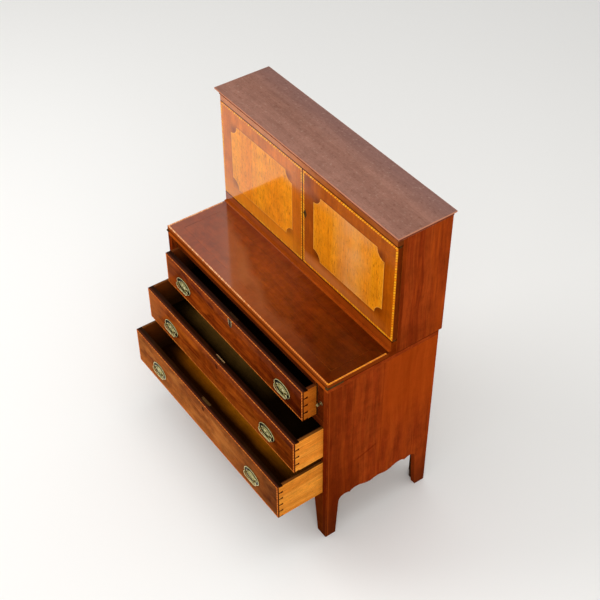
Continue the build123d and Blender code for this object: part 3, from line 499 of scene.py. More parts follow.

# Each drawer's tones, how strongly its front has painted reflection at the left and painted shade at the
# right, and the depth behind the front and the place at the right where the painted shade on its bottom
# gives way
DRAWER_LOOKS = {
    1: {"front": paints((86, 26, 4), (126, 47, 9), (170, 76, 16)), "reflection_at_left": 0.15, "shade_at_right": 0.95,
        "lining": paints((168, 80, 14), (196, 104, 24), (216, 126, 38)),
        "bottom": paints((60, 38, 18), (78, 50, 24), (96, 64, 32)),
        "shade_depth": 100 * MM, "shade_right_end": 350 * MM},
    2: {"front": paints((104, 36, 6), (144, 64, 13), (182, 92, 26)), "reflection_at_left": 0.45, "shade_at_right": 0.75,
        "lining": paints((222, 126, 34), (244, 152, 50), (252, 176, 72)),
        "bottom": paints((106, 74, 30), (124, 90, 38), (142, 106, 50)),
        "shade_depth": 83 * MM, "shade_right_end": 160 * MM},
    3: {"front": paints((126, 61, 20), (160, 87, 32), (188, 113, 50)), "reflection_at_left": 0.0, "shade_at_right": 0.95,
        "lining": paints((206, 116, 30), (234, 146, 46), (248, 170, 68)),
        "bottom": paints((208, 112, 12), (236, 138, 20), (250, 162, 44)),
        "shade_depth": 94 * MM, "shade_right_end": 370 * MM},
}

# Brass in its hollows and on its high places
PLATE_BRASS = paints((112, 104, 44), (190, 182, 108))
BAIL_BRASS = paints((168, 156, 96), (240, 230, 178))
KNOB_BRASS = paints((84, 66, 36), (180, 160, 108))
SKIN_SCALE = 160.0

# Width of each inlaid line and pitch of its dashes
LEAF_LINE = (5.5 * MM, 8 * MM)
DRAWER_LINE = (5.5 * MM, 12 * MM)
DOOR_LINE = (8.5 * MM, 10 * MM)


def plain_timber(name, grain, tones, shift):
    """Polished timber with no inlay."""
    finish = Finish(name)
    finish.timber(finish.along(grain, shift), *tones)
    return finish.done(wear=0.35)


# In what follows a pair says where a change of tone starts and where it ends, and for a line it is its outer
# and its inner half width. Places across are taken from the cabinet's middle, heights from the floor and
# depths from the front, or all from an edge of the piece where a call gives a base.
RAIL_BROWN_ACROSS = (-100 * MM, 200 * MM)
RAIL_GLOSS_ACROSS = (120 * MM, -120 * MM)
RAIL_END_SHADE = (-4 * MM, -2 * MM)
DOOR_SHADE_LINE = (4.2 * MM, 2.6 * MM)


def rail_mahogany(name, tones, door_edge, right_level):
    """The frieze and the base rail: glossy at the left, browner at the right, with painted shade where the
    doors close.
    """
    finish = Finish(name, coat=0.9)
    finish.timber(finish.along("X", 3.9), *tones, bands=18.0, ribbon=0.2)
    finish.darken(finish.fade(finish.x, RAIL_BROWN_ACROSS), right_level, 0.85)
    finish.darken(finish.fade(finish.x, RAIL_END_SHADE, base=side_high.x), 0.5)
    finish.darken(finish.line(finish.z, door_edge, DOOR_SHADE_LINE, 0.92), 0.2)
    gloss = finish.fade(finish.x, RAIL_GLOSS_ACROSS)
    return finish.done(wear=0.3, polished=finish.meet(finish.facing("y", -1), gloss))


SUB_TOP_GAP_SHADE = (-3 * MM, -1.5 * MM)


def sub_top_mahogany(name):
    """The board under the leaf: side red, with an orange front edge and painted shade in the gap under the
    leaf.
    """
    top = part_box("sub_top")[1].z
    finish = Finish(name)
    finish.timber(finish.along("X", 2.9), *SIDE_RED)
    finish.over(finish.meet(finish.facing("y", -1), 0.75), paint(178, 82, 18))
    # Painted shade in the gap under the leaf
    finish.darken(finish.fade(finish.z, SUB_TOP_GAP_SHADE, base=top), 0.4)
    return finish.done(wear=0.2)


TOP_BACK_SHADE = (-90 * MM, -20 * MM)
TOP_EDGE_TURN = (-12 * MM, -4 * MM)
TOP_EDGE_SHADE_AND_HIGHLIGHT = paints((112, 48, 22), (196, 128, 98))


def top_mahogany(name):
    """The top board: greyed by dust and daylight, darker along its back, with painted shade on its edge
    under a painted highlight along the top arris.
    """
    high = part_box("top_board")[1]
    finish = Finish(name, roughness=0.6, shine=0.02)
    finish.timber(finish.along("X", 0.8), *TOP_BROWN, bands=26.0, ribbon=0.12, mottle=0.07, fibre=0.07)
    finish.over(finish.fade(finish.y, TOP_BACK_SHADE, 0.0, 0.45, base=high.y), paint(104, 80, 80))
    specks = finish.clouds(140.0, 2.0)
    finish.over(finish.fade(specks, (0.6, 0.75), 0.0, 0.35), paint(176, 146, 128))
    finish.darken(finish.fade(specks, (0.4, 0.28), 0.0, 0.5), 0.6)
    # Painted shade on the edge below, and a painted highlight along the top arris
    edge_shade_and_highlight = tinted(finish.tree, finish.fade(finish.z, TOP_EDGE_TURN, base=high.z), *TOP_EDGE_SHADE_AND_HIGHLIGHT)
    finish.over(finish.fade(finish.facing_z, (0.8, 0.4)), edge_shade_and_highlight)
    return finish.done(wear=0.6, worn=paint(206, 146, 120))


# The lower case's sides: the orange glow at the rear, the darker front, the painted shade low at the front,
# the dark feet, the joints of the boards, the painted highlight along the arris, and a shallow dent that
# rises to the rear
GLOW_DEPTHS, GLOW_HEIGHTS = (190 * MM, 240 * MM), (300 * MM, 500 * MM)
DARK_DEPTHS, DARKEST_DEPTHS = (20 * MM, 200 * MM), (10 * MM, 60 * MM)
SHADE_DEPTHS, SHADE_HEIGHTS = (150 * MM, 110 * MM), (420 * MM, 240 * MM)
FOOT_HEIGHTS = (180 * MM, 0.0)
JOINT_DEPTHS, JOINT_LINE = (100 * MM, 213 * MM), (2.6 * MM, 0.6 * MM)
ARRIS_HIGHLIGHT_DEPTH, ARRIS_HIGHLIGHT_LINE = 8 * MM, (3 * MM, 1 * MM)
DENT_DEPTH, DENT_HEIGHT, DENT_RISE_SHARE = 155 * MM, 330 * MM, 0.32
DENT_LINE, DENT_REACH = (7 * MM, 1 * MM), (50 * MM, 34 * MM)


def side_mahogany(name):
    """The lower case's sides: three boards side by side, darker to the front and more orange to the back."""
    finish = Finish(name)
    tree = finish.tree
    finish.timber(finish.along("Z", 0.3), *SIDE_RED, bands=16.0, mottle=0.16, fibre=0.1)
    streaks = finish.streaks("Z", 0.8, (3.0, 30.0, 30.0))
    finish.over(finish.fade(streaks, (0.5, 0.66), 0.0, 0.35), paint(184, 77, 20))
    finish.darken(finish.fade(streaks, (0.46, 0.34), 0.0, 0.5), 0.62, 0.9)
    depth = reckon(tree, "SUBTRACT", finish.y, side_low.y)
    glow = finish.meet(finish.fade(depth, GLOW_DEPTHS), finish.fade(finish.z, GLOW_HEIGHTS, 0.0, 0.5))
    finish.over(glow, paint(176, 69, 10))
    finish.darken(finish.fade(depth, DARK_DEPTHS, 0.75, 0.0), 0.66, 0.92)
    finish.darken(finish.fade(depth, DARKEST_DEPTHS, 0.45, 0.0), 0.6, 0.9)
    shade = finish.meet(finish.fade(depth, SHADE_DEPTHS), finish.fade(finish.z, SHADE_HEIGHTS, 0.0, 0.7))
    finish.darken(shade, 0.62, 0.9)
    finish.over(finish.fade(finish.z, FOOT_HEIGHTS, 0.0, 0.6), paint(74, 32, 14))
    for joint_depth in JOINT_DEPTHS:
        finish.darken(finish.line(depth, joint_depth, JOINT_LINE, 0.5), 0.6)
    # Painted highlight along the front arris
    finish.over(finish.line(depth, ARRIS_HIGHLIGHT_DEPTH, ARRIS_HIGHLIGHT_LINE, 0.22), paint(196, 92, 30))
    from_dent = reckon(tree, "SUBTRACT", depth, DENT_DEPTH)
    height = reckon(tree, "MULTIPLY_ADD", from_dent, DENT_RISE_SHARE, DENT_HEIGHT)
    dent = finish.meet(finish.line(finish.z, height, DENT_LINE), finish.line(depth, DENT_DEPTH, DENT_REACH))
    finish.darken(dent, 0.7)
    return finish.done(wear=0.5)


UPPER_SIDE_FOOT = (160 * MM, 20 * MM)
UPPER_SIDE_FRONT = (12 * MM, 16 * MM)


def upper_side_mahogany(name):
    """The cupboard's sides: upright figure, a darker foot and a dark strip at the front."""
    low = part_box("upper_side_right")[0]
    finish = Finish(name)
    finish.timber(finish.along("Z", 1.3), *SIDE_RED, bands=20.0, ribbon=0.34, mottle=0.14, fibre=0.14)
    streaks = finish.streaks("Z", 1.8, (3.0, 34.0, 34.0))
    finish.over(finish.fade(streaks, (0.48, 0.64), 0.0, 0.55), paint(188, 78, 20))
    finish.darken(finish.fade(finish.z, UPPER_SIDE_FOOT, 0.0, 0.5, base=low.z), 0.6, 0.9)
    finish.darken(finish.fade(finish.y, UPPER_SIDE_FRONT, 0.7, 0.0, base=low.y), 0.5, 0.85)
    return finish.done(wear=0.35)


# A drawer's front: where its painted reflection and its painted shade start across, the painted shade of its
# keyhole, and the depths behind its face where the inlaid line ends, the top edge darkens and the inner
# face, given painted shade, lies
REFLECTION_FROM, SHADE_FROM = -300 * MM, 80 * MM
KEYHOLE_DROP = 26 * MM
KEYHOLE_SHADE_HALF_WIDTH, KEYHOLE_SHADE_HALF_HEIGHT = 7 * MM, 10 * MM
LINE_DEPTH = 1.4 * MM
TOP_EDGE_DEPTHS = (4 * MM, 10 * MM)
RUBBED_DEPTHS = (4 * MM, 2 * MM)
INNER_FACE_DEPTH = 17 * MM
DRAWER_LINE_TONES = paints((236, 136, 52), (196, 92, 32), (112, 42, 12))


def drawer_mahogany(name, number, tones, reflection_at_left, shade_at_right):
    """A drawer front: mahogany, an inlaid line on its four arrises, and dark top edges."""
    low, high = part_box(f"drawer_{number}_front")
    finish = Finish(name, coat=0.04)
    tree = finish.tree
    finish.timber(finish.along("X", 0.4 * number), *tones, bands=15.0, ribbon=0.35, mottle=0.3)
    flames = finish.streaks("X", 0.9 * number, (7.0, 24.0, 24.0), distortion=0.8)
    finish.over(finish.fade(flames, (0.5, 0.7), 0.0, 0.7), tones[2])
    finish.darken(finish.fade(flames, (0.44, 0.3), 0.0, 0.3), 0.6)
    # Painted reflection of the pale surround, towards the left end
    if reflection_at_left:
        finish.over(finish.fade(finish.x, (REFLECTION_FROM, low.x), 0.0, reflection_at_left), paint(188, 110, 54))
    # Painted shade, deepening towards the right end
    finish.darken(finish.fade(finish.x, (SHADE_FROM, high.x), 0.0, shade_at_right), 0.4, 0.85)
    # Painted shade of the keyhole: a dark oval where the hole lies
    across = reckon(tree, "DIVIDE", finish.x, KEYHOLE_SHADE_HALF_WIDTH)
    above = reckon(tree, "SUBTRACT", finish.z, high.z - KEYHOLE_DROP)
    keyhole_shade = finish.squares(across, reckon(tree, "DIVIDE", above, KEYHOLE_SHADE_HALF_HEIGHT))
    finish.darken(finish.fade(keyhole_shade, (1.6, 0.6), 0.0, 0.85), 0.25)
    finish.darken(finish.facing("x", 1), 0.55)
    spot = finish.spot(finish.x, finish.z, low.xz, high.xz)
    colour, line = finish.rope(spot, *DRAWER_LINE, *DRAWER_LINE_TONES)
    forward = finish.fade(finish.facing_y, (-0.7, -0.95))
    shallow = reckon(tree, "LESS_THAN", finish.y, low.y + LINE_DEPTH)
    finish.over(finish.meet(line, forward, shallow), colour)
    far_back = finish.fade(finish.y, TOP_EDGE_DEPTHS, base=low.y)
    top_edge = tinted(tree, far_back, paint(66, 32, 22), paint(14, 7, 4))
    finish.over(finish.fade(finish.facing_z, (0.7, 0.95), 0.0, 0.95), top_edge)
    # Painted shade on the front's inner face, inside the drawer
    deep = reckon(tree, "GREATER_THAN", finish.y, low.y + INNER_FACE_DEPTH)
    finish.darken(finish.meet(finish.fade(finish.facing_y, (0.7, 0.95)), deep), 0.25)
    finish.rub(0.35, WORN_TIMBER, finish.fade(finish.y, RUBBED_DEPTHS, base=low.y))
    return finish.done(wear=0.0)


# The leaf: where it is glossy, dark and darkest across, the painted shade in the gap under it, and the rough
# bound of the painted reflection on its front, which slopes back to the left and is weaker in the left
# corner
LEAF_GLOSS_ACROSS = (200 * MM, -50 * MM)
LEAF_DARK_ACROSS, LEAF_DARKEST_ACROSS = (-50 * MM, 300 * MM), (220 * MM, 420 * MM)
LEAF_GAP_SHADE_HEIGHTS = (4.2 * MM, 2.8 * MM)
REFLECTION_SLOPE_SHARE, REFLECTION_MIDDLE, REFLECTION_LEAST = -0.31, -45 * MM, -70 * MM
REFLECTION_ROUGHNESS = (-12 * MM, 12 * MM)
REFLECTION_RIM = (12 * MM, -16 * MM)
REFLECTION_ACROSS = (400 * MM, -150 * MM)
CORNER_SLOPE_SHARE, CORNER_RIM = 1.41, (-380 * MM, -240 * MM)


def paint_front_reflection(finish):
    """A painted reflection of the pale surround on the leaf's front: broad at the left, narrow at the right.
    """
    tree = finish.tree
    clouds = finish.clouds(16.0)
    bound = reckon(tree, "MULTIPLY_ADD", finish.x, REFLECTION_SLOPE_SHARE, REFLECTION_MIDDLE)
    bound = reckon(tree, "MAXIMUM", bound, REFLECTION_LEAST)
    rough = finish.fade(clouds, (0.3, 0.7), *REFLECTION_ROUGHNESS)
    behind = reckon(tree, "ADD", reckon(tree, "SUBTRACT", finish.y, bound), rough)
    corner = reckon(tree, "MULTIPLY_ADD", finish.y, CORNER_SLOPE_SHARE, finish.x)
    reflection = finish.meet(
        finish.fade(behind, REFLECTION_RIM), finish.fade(corner, CORNER_RIM, 0.3, 1.0),
        finish.fade(finish.x, REFLECTION_ACROSS), finish.fade(clouds, (0.3, 0.7), 0.5, 0.9),
        finish.facing("z", 1))
    finish.over(reflection, paint(148, 84, 46))


def shade_leaf_right(finish):
    """The leaf's right half, darker, and darkest at its end."""
    finish.darken(finish.fade(finish.x, LEAF_DARK_ACROSS, 0.0, 0.9), 0.48, 0.84)
    finish.darken(finish.fade(finish.x, LEAF_DARKEST_ACROSS, 0.0, 0.5), 0.5, 0.84)


def polish_leaf(finish):
    """The old polish on the leaf's upper face, glossier at the left."""
    gloss = finish.fade(finish.x, LEAF_GLOSS_ACROSS, 0.45, 1.0)
    return finish.done(wear=0.3, polished=finish.meet(finish.facing("z", 1), gloss))


def leaf_mahogany(name):
    """The writing leaf: one mottled board, with painted shade in the gap to the board under it."""
    finish = Finish(name, coat=1.0)
    finish.timber(finish.along("X", 2.1), *LEAF_RED, bands=11.0, ribbon=0.25, mottle=0.26)
    shade_leaf_right(finish)
    front_edge = finish.facing("y", -1)
    finish.over(finish.meet(front_edge, 0.6), paint(158, 74, 24))
    # Painted shade in the gap between the leaf's front and the board under it
    gap_shade = finish.fade(finish.z, LEAF_GAP_SHADE_HEIGHTS, base=leaf_low.z)
    finish.darken(finish.meet(gap_shade, front_edge), 0.25)
    finish.over(finish.meet(finish.facing("x", 1), 0.8), paint(132, 54, 12))
    # Painted reflection on the front of the leaf
    paint_front_reflection(finish)
    return polish_leaf(finish)


# The leaf's border: its width with the joint at its inner side, and the inlaid line, which reddens to the
# right, goes golden at the right end and stops before the back edge
BORDER_WIDTH, BORDER_JOINT_LINE = 41.5 * MM, (2 * MM, 1 * MM)
LEAF_LINE_RED_ACROSS = (-50 * MM, 200 * MM)
LEAF_LINE_END = (-20 * MM, -10 * MM)
LEAF_LINE_STOP = (-7 * MM, -9 * MM)


def leaf_edging(name):
    """The leaf's border: grain across each edge, mitred corners and the inlaid line at the arris."""
    finish = Finish(name, coat=1.0)
    tree = finish.tree
    reddening = finish.fade(finish.x, LEAF_LINE_RED_ACROSS)
    pale = tinted(tree, reddening, paint(246, 188, 128), paint(218, 130, 56))
    right_end = finish.fade(finish.x, LEAF_LINE_END, base=leaf_high.x)
    pale = tinted(tree, right_end, pale, paint(250, 160, 40))
    spot = finish.spot(finish.x, finish.y, leaf_low, leaf_high)
    colour, line = finish.rope(spot, *LEAF_LINE, pale, paint(214, 124, 52), paint(142, 70, 26))
    ways = put(tree, "Mix", {0: spot["End"], 4: finish.along("Y", 0.2), 5: finish.along("X", 0.5)},
               data_type="VECTOR").outputs[1]
    finish.timber(ways, *BORDER_RED, bands=60.0, ribbon=0.08, mottle=0.22, fibre=0.05)
    shade_leaf_right(finish)
    finish.darken(finish.line(spot["Inset"], BORDER_WIDTH, BORDER_JOINT_LINE, 0.6), 0.5)
    # Painted reflection on the front of the leaf
    paint_front_reflection(finish)
    forward = finish.fade(finish.y, LEAF_LINE_STOP, base=leaf_high.y)
    finish.over(finish.meet(line, forward), colour)
    return polish_leaf(finish)


# The doors' surrounds: how far the dark quarter rounds reach past the panel and into it, the golden foot and
# dark inner stile of the left one, the dark inner stile and pale foot of the right one, half the width of
# the painted shade in the gap between the doors with its soft rim, and where the gloss fades
QUARTER_ROUND_PAST, QUARTER_ROUND_INTO = 10 * MM, 14 * MM
LEFT_FOOT_HEIGHTS, LEFT_STILE = (100 * MM, 0.0), (-60 * MM, -30 * MM)
RIGHT_FOOT_HEIGHTS, RIGHT_FOOT_REACH, RIGHT_STILE = (60 * MM, 30 * MM), 100 * MM, (60 * MM, 10 * MM)
DOOR_GAPS, DOOR_GAP_RIM = {"left": 3.4 * MM, "right": 2 * MM}, 1.2 * MM
DOOR_GLOSS_ACROSS = (100 * MM, -50 * MM)
DOOR_LINE_TONES = paints((255, 176, 34), (238, 128, 16), (150, 66, 8))


def door_edging(name, side, tones):
    """A door's surround: upright grain, dark quarter rounds and the inlaid line at the arrises."""
    low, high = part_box(f"door_{side}_banding")
    panel_low, panel_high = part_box(f"door_{side}_panel")
    middle = (panel_low + panel_high) / 2
    outer = (panel_high - panel_low) / 2 + Vector((1, 1, 1)) * QUARTER_ROUND_PAST
    inner = (panel_high - panel_low) / 2 - Vector((1, 1, 1)) * QUARTER_ROUND_INTO
    finish = Finish(name, coat=0.95)
    finish.timber(finish.along("Z", 0.7), *tones, bands=18.0, ribbon=0.25, mottle=0.16, fibre=0.08)
    quarter_rounds = finish.meet(finish.line(finish.x, middle.x, (outer.x, inner.x)),
                                 finish.line(finish.z, middle.z, (outer.z, inner.z), 0.85))
    finish.darken(quarter_rounds, 0.42, 0.85)
    if side == "left":
        meeting = high.x
        foot = finish.fade(finish.z, LEFT_FOOT_HEIGHTS, 0.0, 0.55, base=low.z)
        finish.over(foot, paint(246, 156, 16))
        finish.darken(finish.fade(finish.x, LEFT_STILE, 0.0, 0.5, base=meeting), 0.45)
    else:
        meeting = low.x
        finish.darken(finish.fade(finish.x, RIGHT_STILE, 0.0, 0.35, base=meeting), 0.5)
        foot = finish.meet(finish.fade(finish.z, RIGHT_FOOT_HEIGHTS, base=low.z),
                           finish.fade(finish.x, (high.x, low.x + RIGHT_FOOT_REACH), 0.0, 0.6))
        finish.over(foot, paint(214, 128, 66))
    spot = finish.spot(finish.x, finish.z, low.xz, high.xz)
    colour, line = finish.rope(spot, *DOOR_LINE, *DOOR_LINE_TONES)
    finish.over(line, colour)
    # Painted shade in the gap where the doors meet
    door_gap_shade = (DOOR_GAPS[side], DOOR_GAPS[side] - DOOR_GAP_RIM)
    finish.darken(finish.line(finish.x, meeting, door_gap_shade, 0.95), 0.12)
    gloss = finish.fade(finish.x, DOOR_GLOSS_ACROSS, 0.12, 1.0)
    return finish.done(wear=0.0, polished=finish.meet(finish.facing("y", -1), gloss))


# The doors' panels: their indented corners, the light line at their rim, and the painted glare, an upright
# band on the right one, whose middle lies a little to the right of the panel's
CORNER_RADIUS = 34 * MM
PANEL_LINE = (1.8 * MM, 1.2 * MM)
GLARE_SHIFT, GLARE_REACH = 20 * MM, (100 * MM, 20 * MM)


def satinwood(name, side, tones):
    """A door's panel: golden satinwood with a cross ripple, short dark pores and a light line round it."""
    low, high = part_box(f"door_{side}_panel")
    middle = (low + high) / 2
    half = (high - low) / 2
    finish = Finish(name, coat=0.95)
    tree = finish.tree
    finish.timber(finish.along("Z", 0.9), *tones, bands=22.0, pores=0.3, ribbon=0.2, fibre=0.1)
    ripple = finish.streaks("X", 0.2, (16.0, 90.0, 150.0))
    finish.over(finish.fade(ripple, (0.52, 0.72), 0.0, 0.25), paint(206, 104, 9))
    marks = finish.streaks("Z", 0.4, (48.0, 330.0, 330.0), detail=2.0)
    finish.darken(finish.fade(marks, (0.58, 0.66), 0.0, 0.8), 0.5)
    from_end = reckon(tree, "SUBTRACT", half.x, distance(tree, finish.x, middle.x))
    from_rim = reckon(tree, "SUBTRACT", half.z, distance(tree, finish.z, middle.z))
    from_corner = reckon(tree, "SQRT", finish.squares(from_end, from_rim))
    from_corner = reckon(tree, "SUBTRACT", from_corner, CORNER_RADIUS)
    inset = reckon(tree, "MINIMUM", reckon(tree, "MINIMUM", from_end, from_rim), from_corner)
    finish.over(finish.fade(inset, PANEL_LINE, 0.0, 0.5), paint(250, 184, 84))
    if side == "right":
        # Painted glare: soft pale patches in an upright band on the right panel
        glare_band = finish.line(finish.x, middle.x + GLARE_SHIFT, GLARE_REACH, 0.5)
        patches = finish.fade(finish.clouds(5.0, 4.0), (0.35, 0.6))
        finish.over(finish.meet(glare_band, patches), paint(228, 168, 110))
    gloss = finish.fade(finish.x, DOOR_GLOSS_ACROSS, 0.3, 1.0)
    return finish.done(wear=0.0, polished=gloss)


# The drawers' linings: how far inside a side's outer face its inner one lies, and the painted light on the
# left one, from above its foot to below its top edge; the bottoms: the rough bound of their painted shade
# and where it starts at the front and at both ends
INNER_SIDE = (-7.5 * MM, -9.5 * MM)
LIT_ABOVE_FOOT, LIT_BELOW_TOP = 40 * MM, 10 * MM
SHADE_ROUGHNESS = (4 * MM, -4 * MM)
SHADE_FRONT = (0.0, 50 * MM)
SHADE_LEFT_ACROSS, SHADE_RIGHT = (-410 * MM, -310 * MM), (0.0, -200 * MM)


def drawer_oak(name, number, tones):
    """A drawer's linings: orange oak outside; inside, dark oak made nearly black by painted shade, with
    painted light on the left side, and nearly black along the top edges.
    """
    low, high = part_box(f"drawer_{number}_box")
    finish = Finish(name, roughness=0.55, shine=0.02)
    tree = finish.tree
    finish.timber(finish.along("Y", 0.3 * number), *tones, bands=24.0, pores=0.6)
    outwards = reckon(tree, "ABSOLUTE", finish.x)
    inside = finish.fade(outwards, INNER_SIDE, 0.0, 0.94, base=high.x)
    lit = finish.meet(finish.fade(finish.z, (low.z + LIT_ABOVE_FOOT, high.z - LIT_BELOW_TOP)),
                      reckon(tree, "LESS_THAN", finish.x, 0.0))
    # Inside: dark oak deepened nearly to black by painted shade, with painted light on the left side
    finish.over(inside, tinted(tree, lit, paint(22, 10, 3), paint(104, 44, 12)))
    finish.over(finish.fade(finish.facing_z, (0.7, 0.95), 0.0, 0.85), paint(58, 28, 14))
    return finish.done(wear=0.15)


def bottom_oak(name, number, tones, shade_depth, shade_right_end):
    """A drawer's bottom: brown oak, with painted shade, nearly black, towards the front and the ends."""
    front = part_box(f"drawer_{number}_front")[0].y
    finish = Finish(name, roughness=0.6)
    tree = finish.tree
    finish.timber(finish.along("X", 0.5 * number), *tones, bands=16.0, pores=0.7, ribbon=0.2)
    # Painted shade: nearly black towards the front and both ends, with a rough bound
    rough = finish.fade(finish.clouds(11.0, 4.0), (0.3, 0.7), *SHADE_ROUGHNESS)
    behind = reckon(tree, "ADD", finish.y, rough)
    bright_part = finish.meet(finish.fade(behind, SHADE_FRONT, base=front + shade_depth),
                        finish.fade(finish.x, SHADE_LEFT_ACROSS),
                        finish.fade(finish.x, SHADE_RIGHT, base=shade_right_end))
    finish.darken(finish.fade(bright_part, (1.0, 0.0)), 0.05)
    return finish.done(wear=0.0)


# The backs' boards: a joint's place across and the width of a board
BACK_JOINT_ACROSS, BACK_BOARD_WIDTH = -1040 * MM, 148 * MM


def dry_pine(name, grain, shift, in_boards=False):
    """Unpolished pine for what lies inside and behind; the backs are boards of their own tones."""
    finish = Finish(name, roughness=0.72)
    tree = finish.tree
    finish.timber(finish.along(grain, shift), *PINE, bands=18.0, pores=0.3, ribbon=0.4)
    if in_boards:
        from_joint = reckon(tree, "SUBTRACT", finish.x, BACK_JOINT_ACROSS)
        boards = reckon(tree, "DIVIDE", from_joint, BACK_BOARD_WIDTH)
        finish.darken(finish.fade(toss(tree, boards), (0.0, 1.0), 0.0, 0.6), 0.6)
        from_middle = distance(tree, reckon(tree, "FRACT", boards), 0.5)
        finish.darken(finish.fade(from_middle, (0.492, 0.498)), 0.2)
    return finish.done(bump=0.3, wear=0.2, dust=0.3)


BLIND_LINE_INSET, BLIND_LINE = 14 * MM, (1.2 * MM, 0.6 * MM)


def green_leather(name):
    """The writing leather: pebbled green hide with a blind line pressed in."""
    low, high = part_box("leaf_leather")
    finish = Finish(name, roughness=0.5, coat=0.15)
    tree = finish.tree
    pebbles = put(tree, "TexVoronoi", {"Vector": finish.place, "Scale": 900.0}).outputs["Distance"]
    finish.colour = tinted(tree, finish.clouds(12.0, 6.0), paint(24, 48, 34), paint(52, 78, 50))
    spot = finish.spot(finish.x, finish.y, low, high)
    pressed = finish.line(spot["Inset"], BLIND_LINE_INSET, BLIND_LINE)
    finish.over(finish.meet(pressed, 0.7), paint(16, 30, 20))
    finish.height = reckon(tree, "SUBTRACT", pebbles, pressed)
    return finish.done(bump=0.4, depth=0.3 * MM, wear=0.0, dust=0.1)


# How high a plate's hollow, its bright bead and its posts' brown necks stand above the drawer's face
HOLLOW_HEIGHTS, BEAD_HEIGHTS, NECK_HEIGHTS = (1.1 * MM, 0.6 * MM), (1.7 * MM, 1.9 * MM), (2.6 * MM, 3 * MM)


def aged_brass(name, tones, face=None):
    """Brass with a brown skin and bright high places; a plate on a face also has a nearly black hollow, dark
    patina deepened by painted shade.
    """
    finish = Finish(name, roughness=0.32, metallic=1.0, shine=0.5)
    clouds = finish.clouds(SKIN_SCALE)
    finish.colour = tinted(finish.tree, finish.fade(clouds, (0.35, 0.7)), *tones)
    if face is not None:
        raised = reckon(finish.tree, "SUBTRACT", face, finish.y)
        # The hollow: dark patina deepened nearly to black by painted shade
        finish.over(finish.fade(raised, HOLLOW_HEIGHTS, 0.0, 0.97), paint(16, 12, 5))
        finish.over(finish.fade(raised, BEAD_HEIGHTS), paint(238, 226, 172))
        finish.over(finish.fade(raised, NECK_HEIGHTS), paint(112, 96, 52))
    finish.height = clouds
    return finish.done(bump=0.12, depth=0.2 * MM, wear=0.7, worn=WORN_BRASS)


def dull_brass(name):
    """Brass gone brown under old wax and darkened further as painted shade, for hinges and inner locks."""
    finish = Finish(name, roughness=0.6)
    finish.colour = tinted(finish.tree, finish.clouds(SKIN_SCALE), paint(48, 30, 14), paint(96, 68, 34))
    return finish.done(wear=0.0)


# The top drawer's lock shield: how deep its face lies and where across its pale rims start; the second
# drawer's lock: how far before the front's inner face its bright top edge starts
SHIELD_DEPTHS, SHIELD_RIM = (0.4 * MM, 0.2 * MM), (6.2 * MM, 7.6 * MM)
LOCK_EDGE = (-4.2 * MM, -3.4 * MM)


def lock_brass(name, number):
    """A drawer's lock: dull, with the pale parts that hands keep clean on its shield or its top edge."""
    front, back = (corner.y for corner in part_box(f"drawer_{number}_front"))
    finish = Finish(name, roughness=0.4, metallic=1.0, shine=0.5)
    tree = finish.tree
    if number == 1:
        rim = finish.fade(reckon(tree, "ABSOLUTE", finish.x), SHIELD_RIM)
        bright_part = finish.meet(finish.fade(finish.y, SHIELD_DEPTHS, base=front), rim)
    else:
        upwards = finish.fade(finish.facing_z, (0.7, 0.9))
        bright_part = finish.meet(finish.fade(finish.y, LOCK_EDGE, base=back), upwards)
    bright = tinted(tree, finish.clouds(SKIN_SCALE), paint(176, 150, 96), paint(214, 190, 140))
    finish.colour = tinted(tree, bright_part, paint(58, 38, 20), bright)
    return finish.done(wear=0.0)


# Brass pieces drawn finer than their solids

# Sections as (radius, reach to the front) in millimetres
POST_SECTION = ((5.8, 0.4), (5.8, 1.6), (5.1, 2.2), (3.7, 2.5), (2.9, 3.0), (2.9, 3.6), (3.8, 4.2),
                (4.6, 5.4), (4.8, 7.1), (4.7, 8.5), (4.0, 9.9), (2.8, 10.9), (2.2, 11.4), (2.0, 11.8),
                (1.3, 12.2), (0.0, 12.3))
BOLT_SECTION = ((0.0, -24.5), (1.9, -24.3), (2.2, -23.8), (2.2, -20.0))
KNOB_SECTION = ((8.0, 0.0), (8.0, 0.9), (6.8, 1.5), (3.8, 1.8), (2.6, 2.6), (2.5, 4.2), (3.2, 5.4),
                (4.8, 6.6), (5.9, 8.6), (6.2, 11.0), (5.8, 13.4), (4.6, 15.6), (2.8, 17.0), (0.0, 17.5))

# What the plates' stamping shows: shares of the oval's half size, with heights in millimetres
PLATE_SECTION = ((0.0, 1.7), (0.12, 1.7), (0.22, 1.6), (0.30, 1.45), (0.36, 1.3), (0.41, 1.3), (0.45, 1.7),
                 (0.49, 1.9), (0.53, 1.7), (0.56, 0.9), (0.58, 0.4), (0.89, 0.4), (0.915, 1.0), (0.935, 1.9),
                 (0.955, 2.15), (0.975, 1.9), (0.995, 1.0), (1.0, 0.0))
RAY_SHARES = (0.1, 0.4)
RAY_DEPTH = 0.25 * MM
PLATE_HALF_LENGTH, PLATE_HALF_HEIGHT = 42 * MM, 27.5 * MM
POST_REACH = 24 * MM
NUT_WIDTH, NUT_THICKNESS, NUT_EASE = 9 * MM, 3.2 * MM, 0.5 * MM

# Sides of what is turned: four to a ray on the plates, so their number is a multiple of four
PLATE_STEPS, POST_STEPS, BOLT_STEPS, KNOB_STEPS = 144, 24, 16, 32

# Half of a bail, from its end in the post to the middle of its grip: out, up and radius in millimetres
BAIL_PATH = ((19.3, 0.0, 1.95), (24.5, 0.0, 1.95), (28.9, 0.0, 1.8), (31.7, -0.3, 1.6),
             (33.8, -2.3, 1.5), (34.5, -5.7, 1.4), (33.5, -9.8, 1.4), (30.8, -13.9, 1.45),
             (27.0, -16.7, 1.5), (21.5, -17.9, 1.6), (12.5, -18.0, 1.7), (5.4, -18.0, 1.75),
             (2.4, -18.0, 1.75))
BAIL_AXIS_DROP = 2 * MM

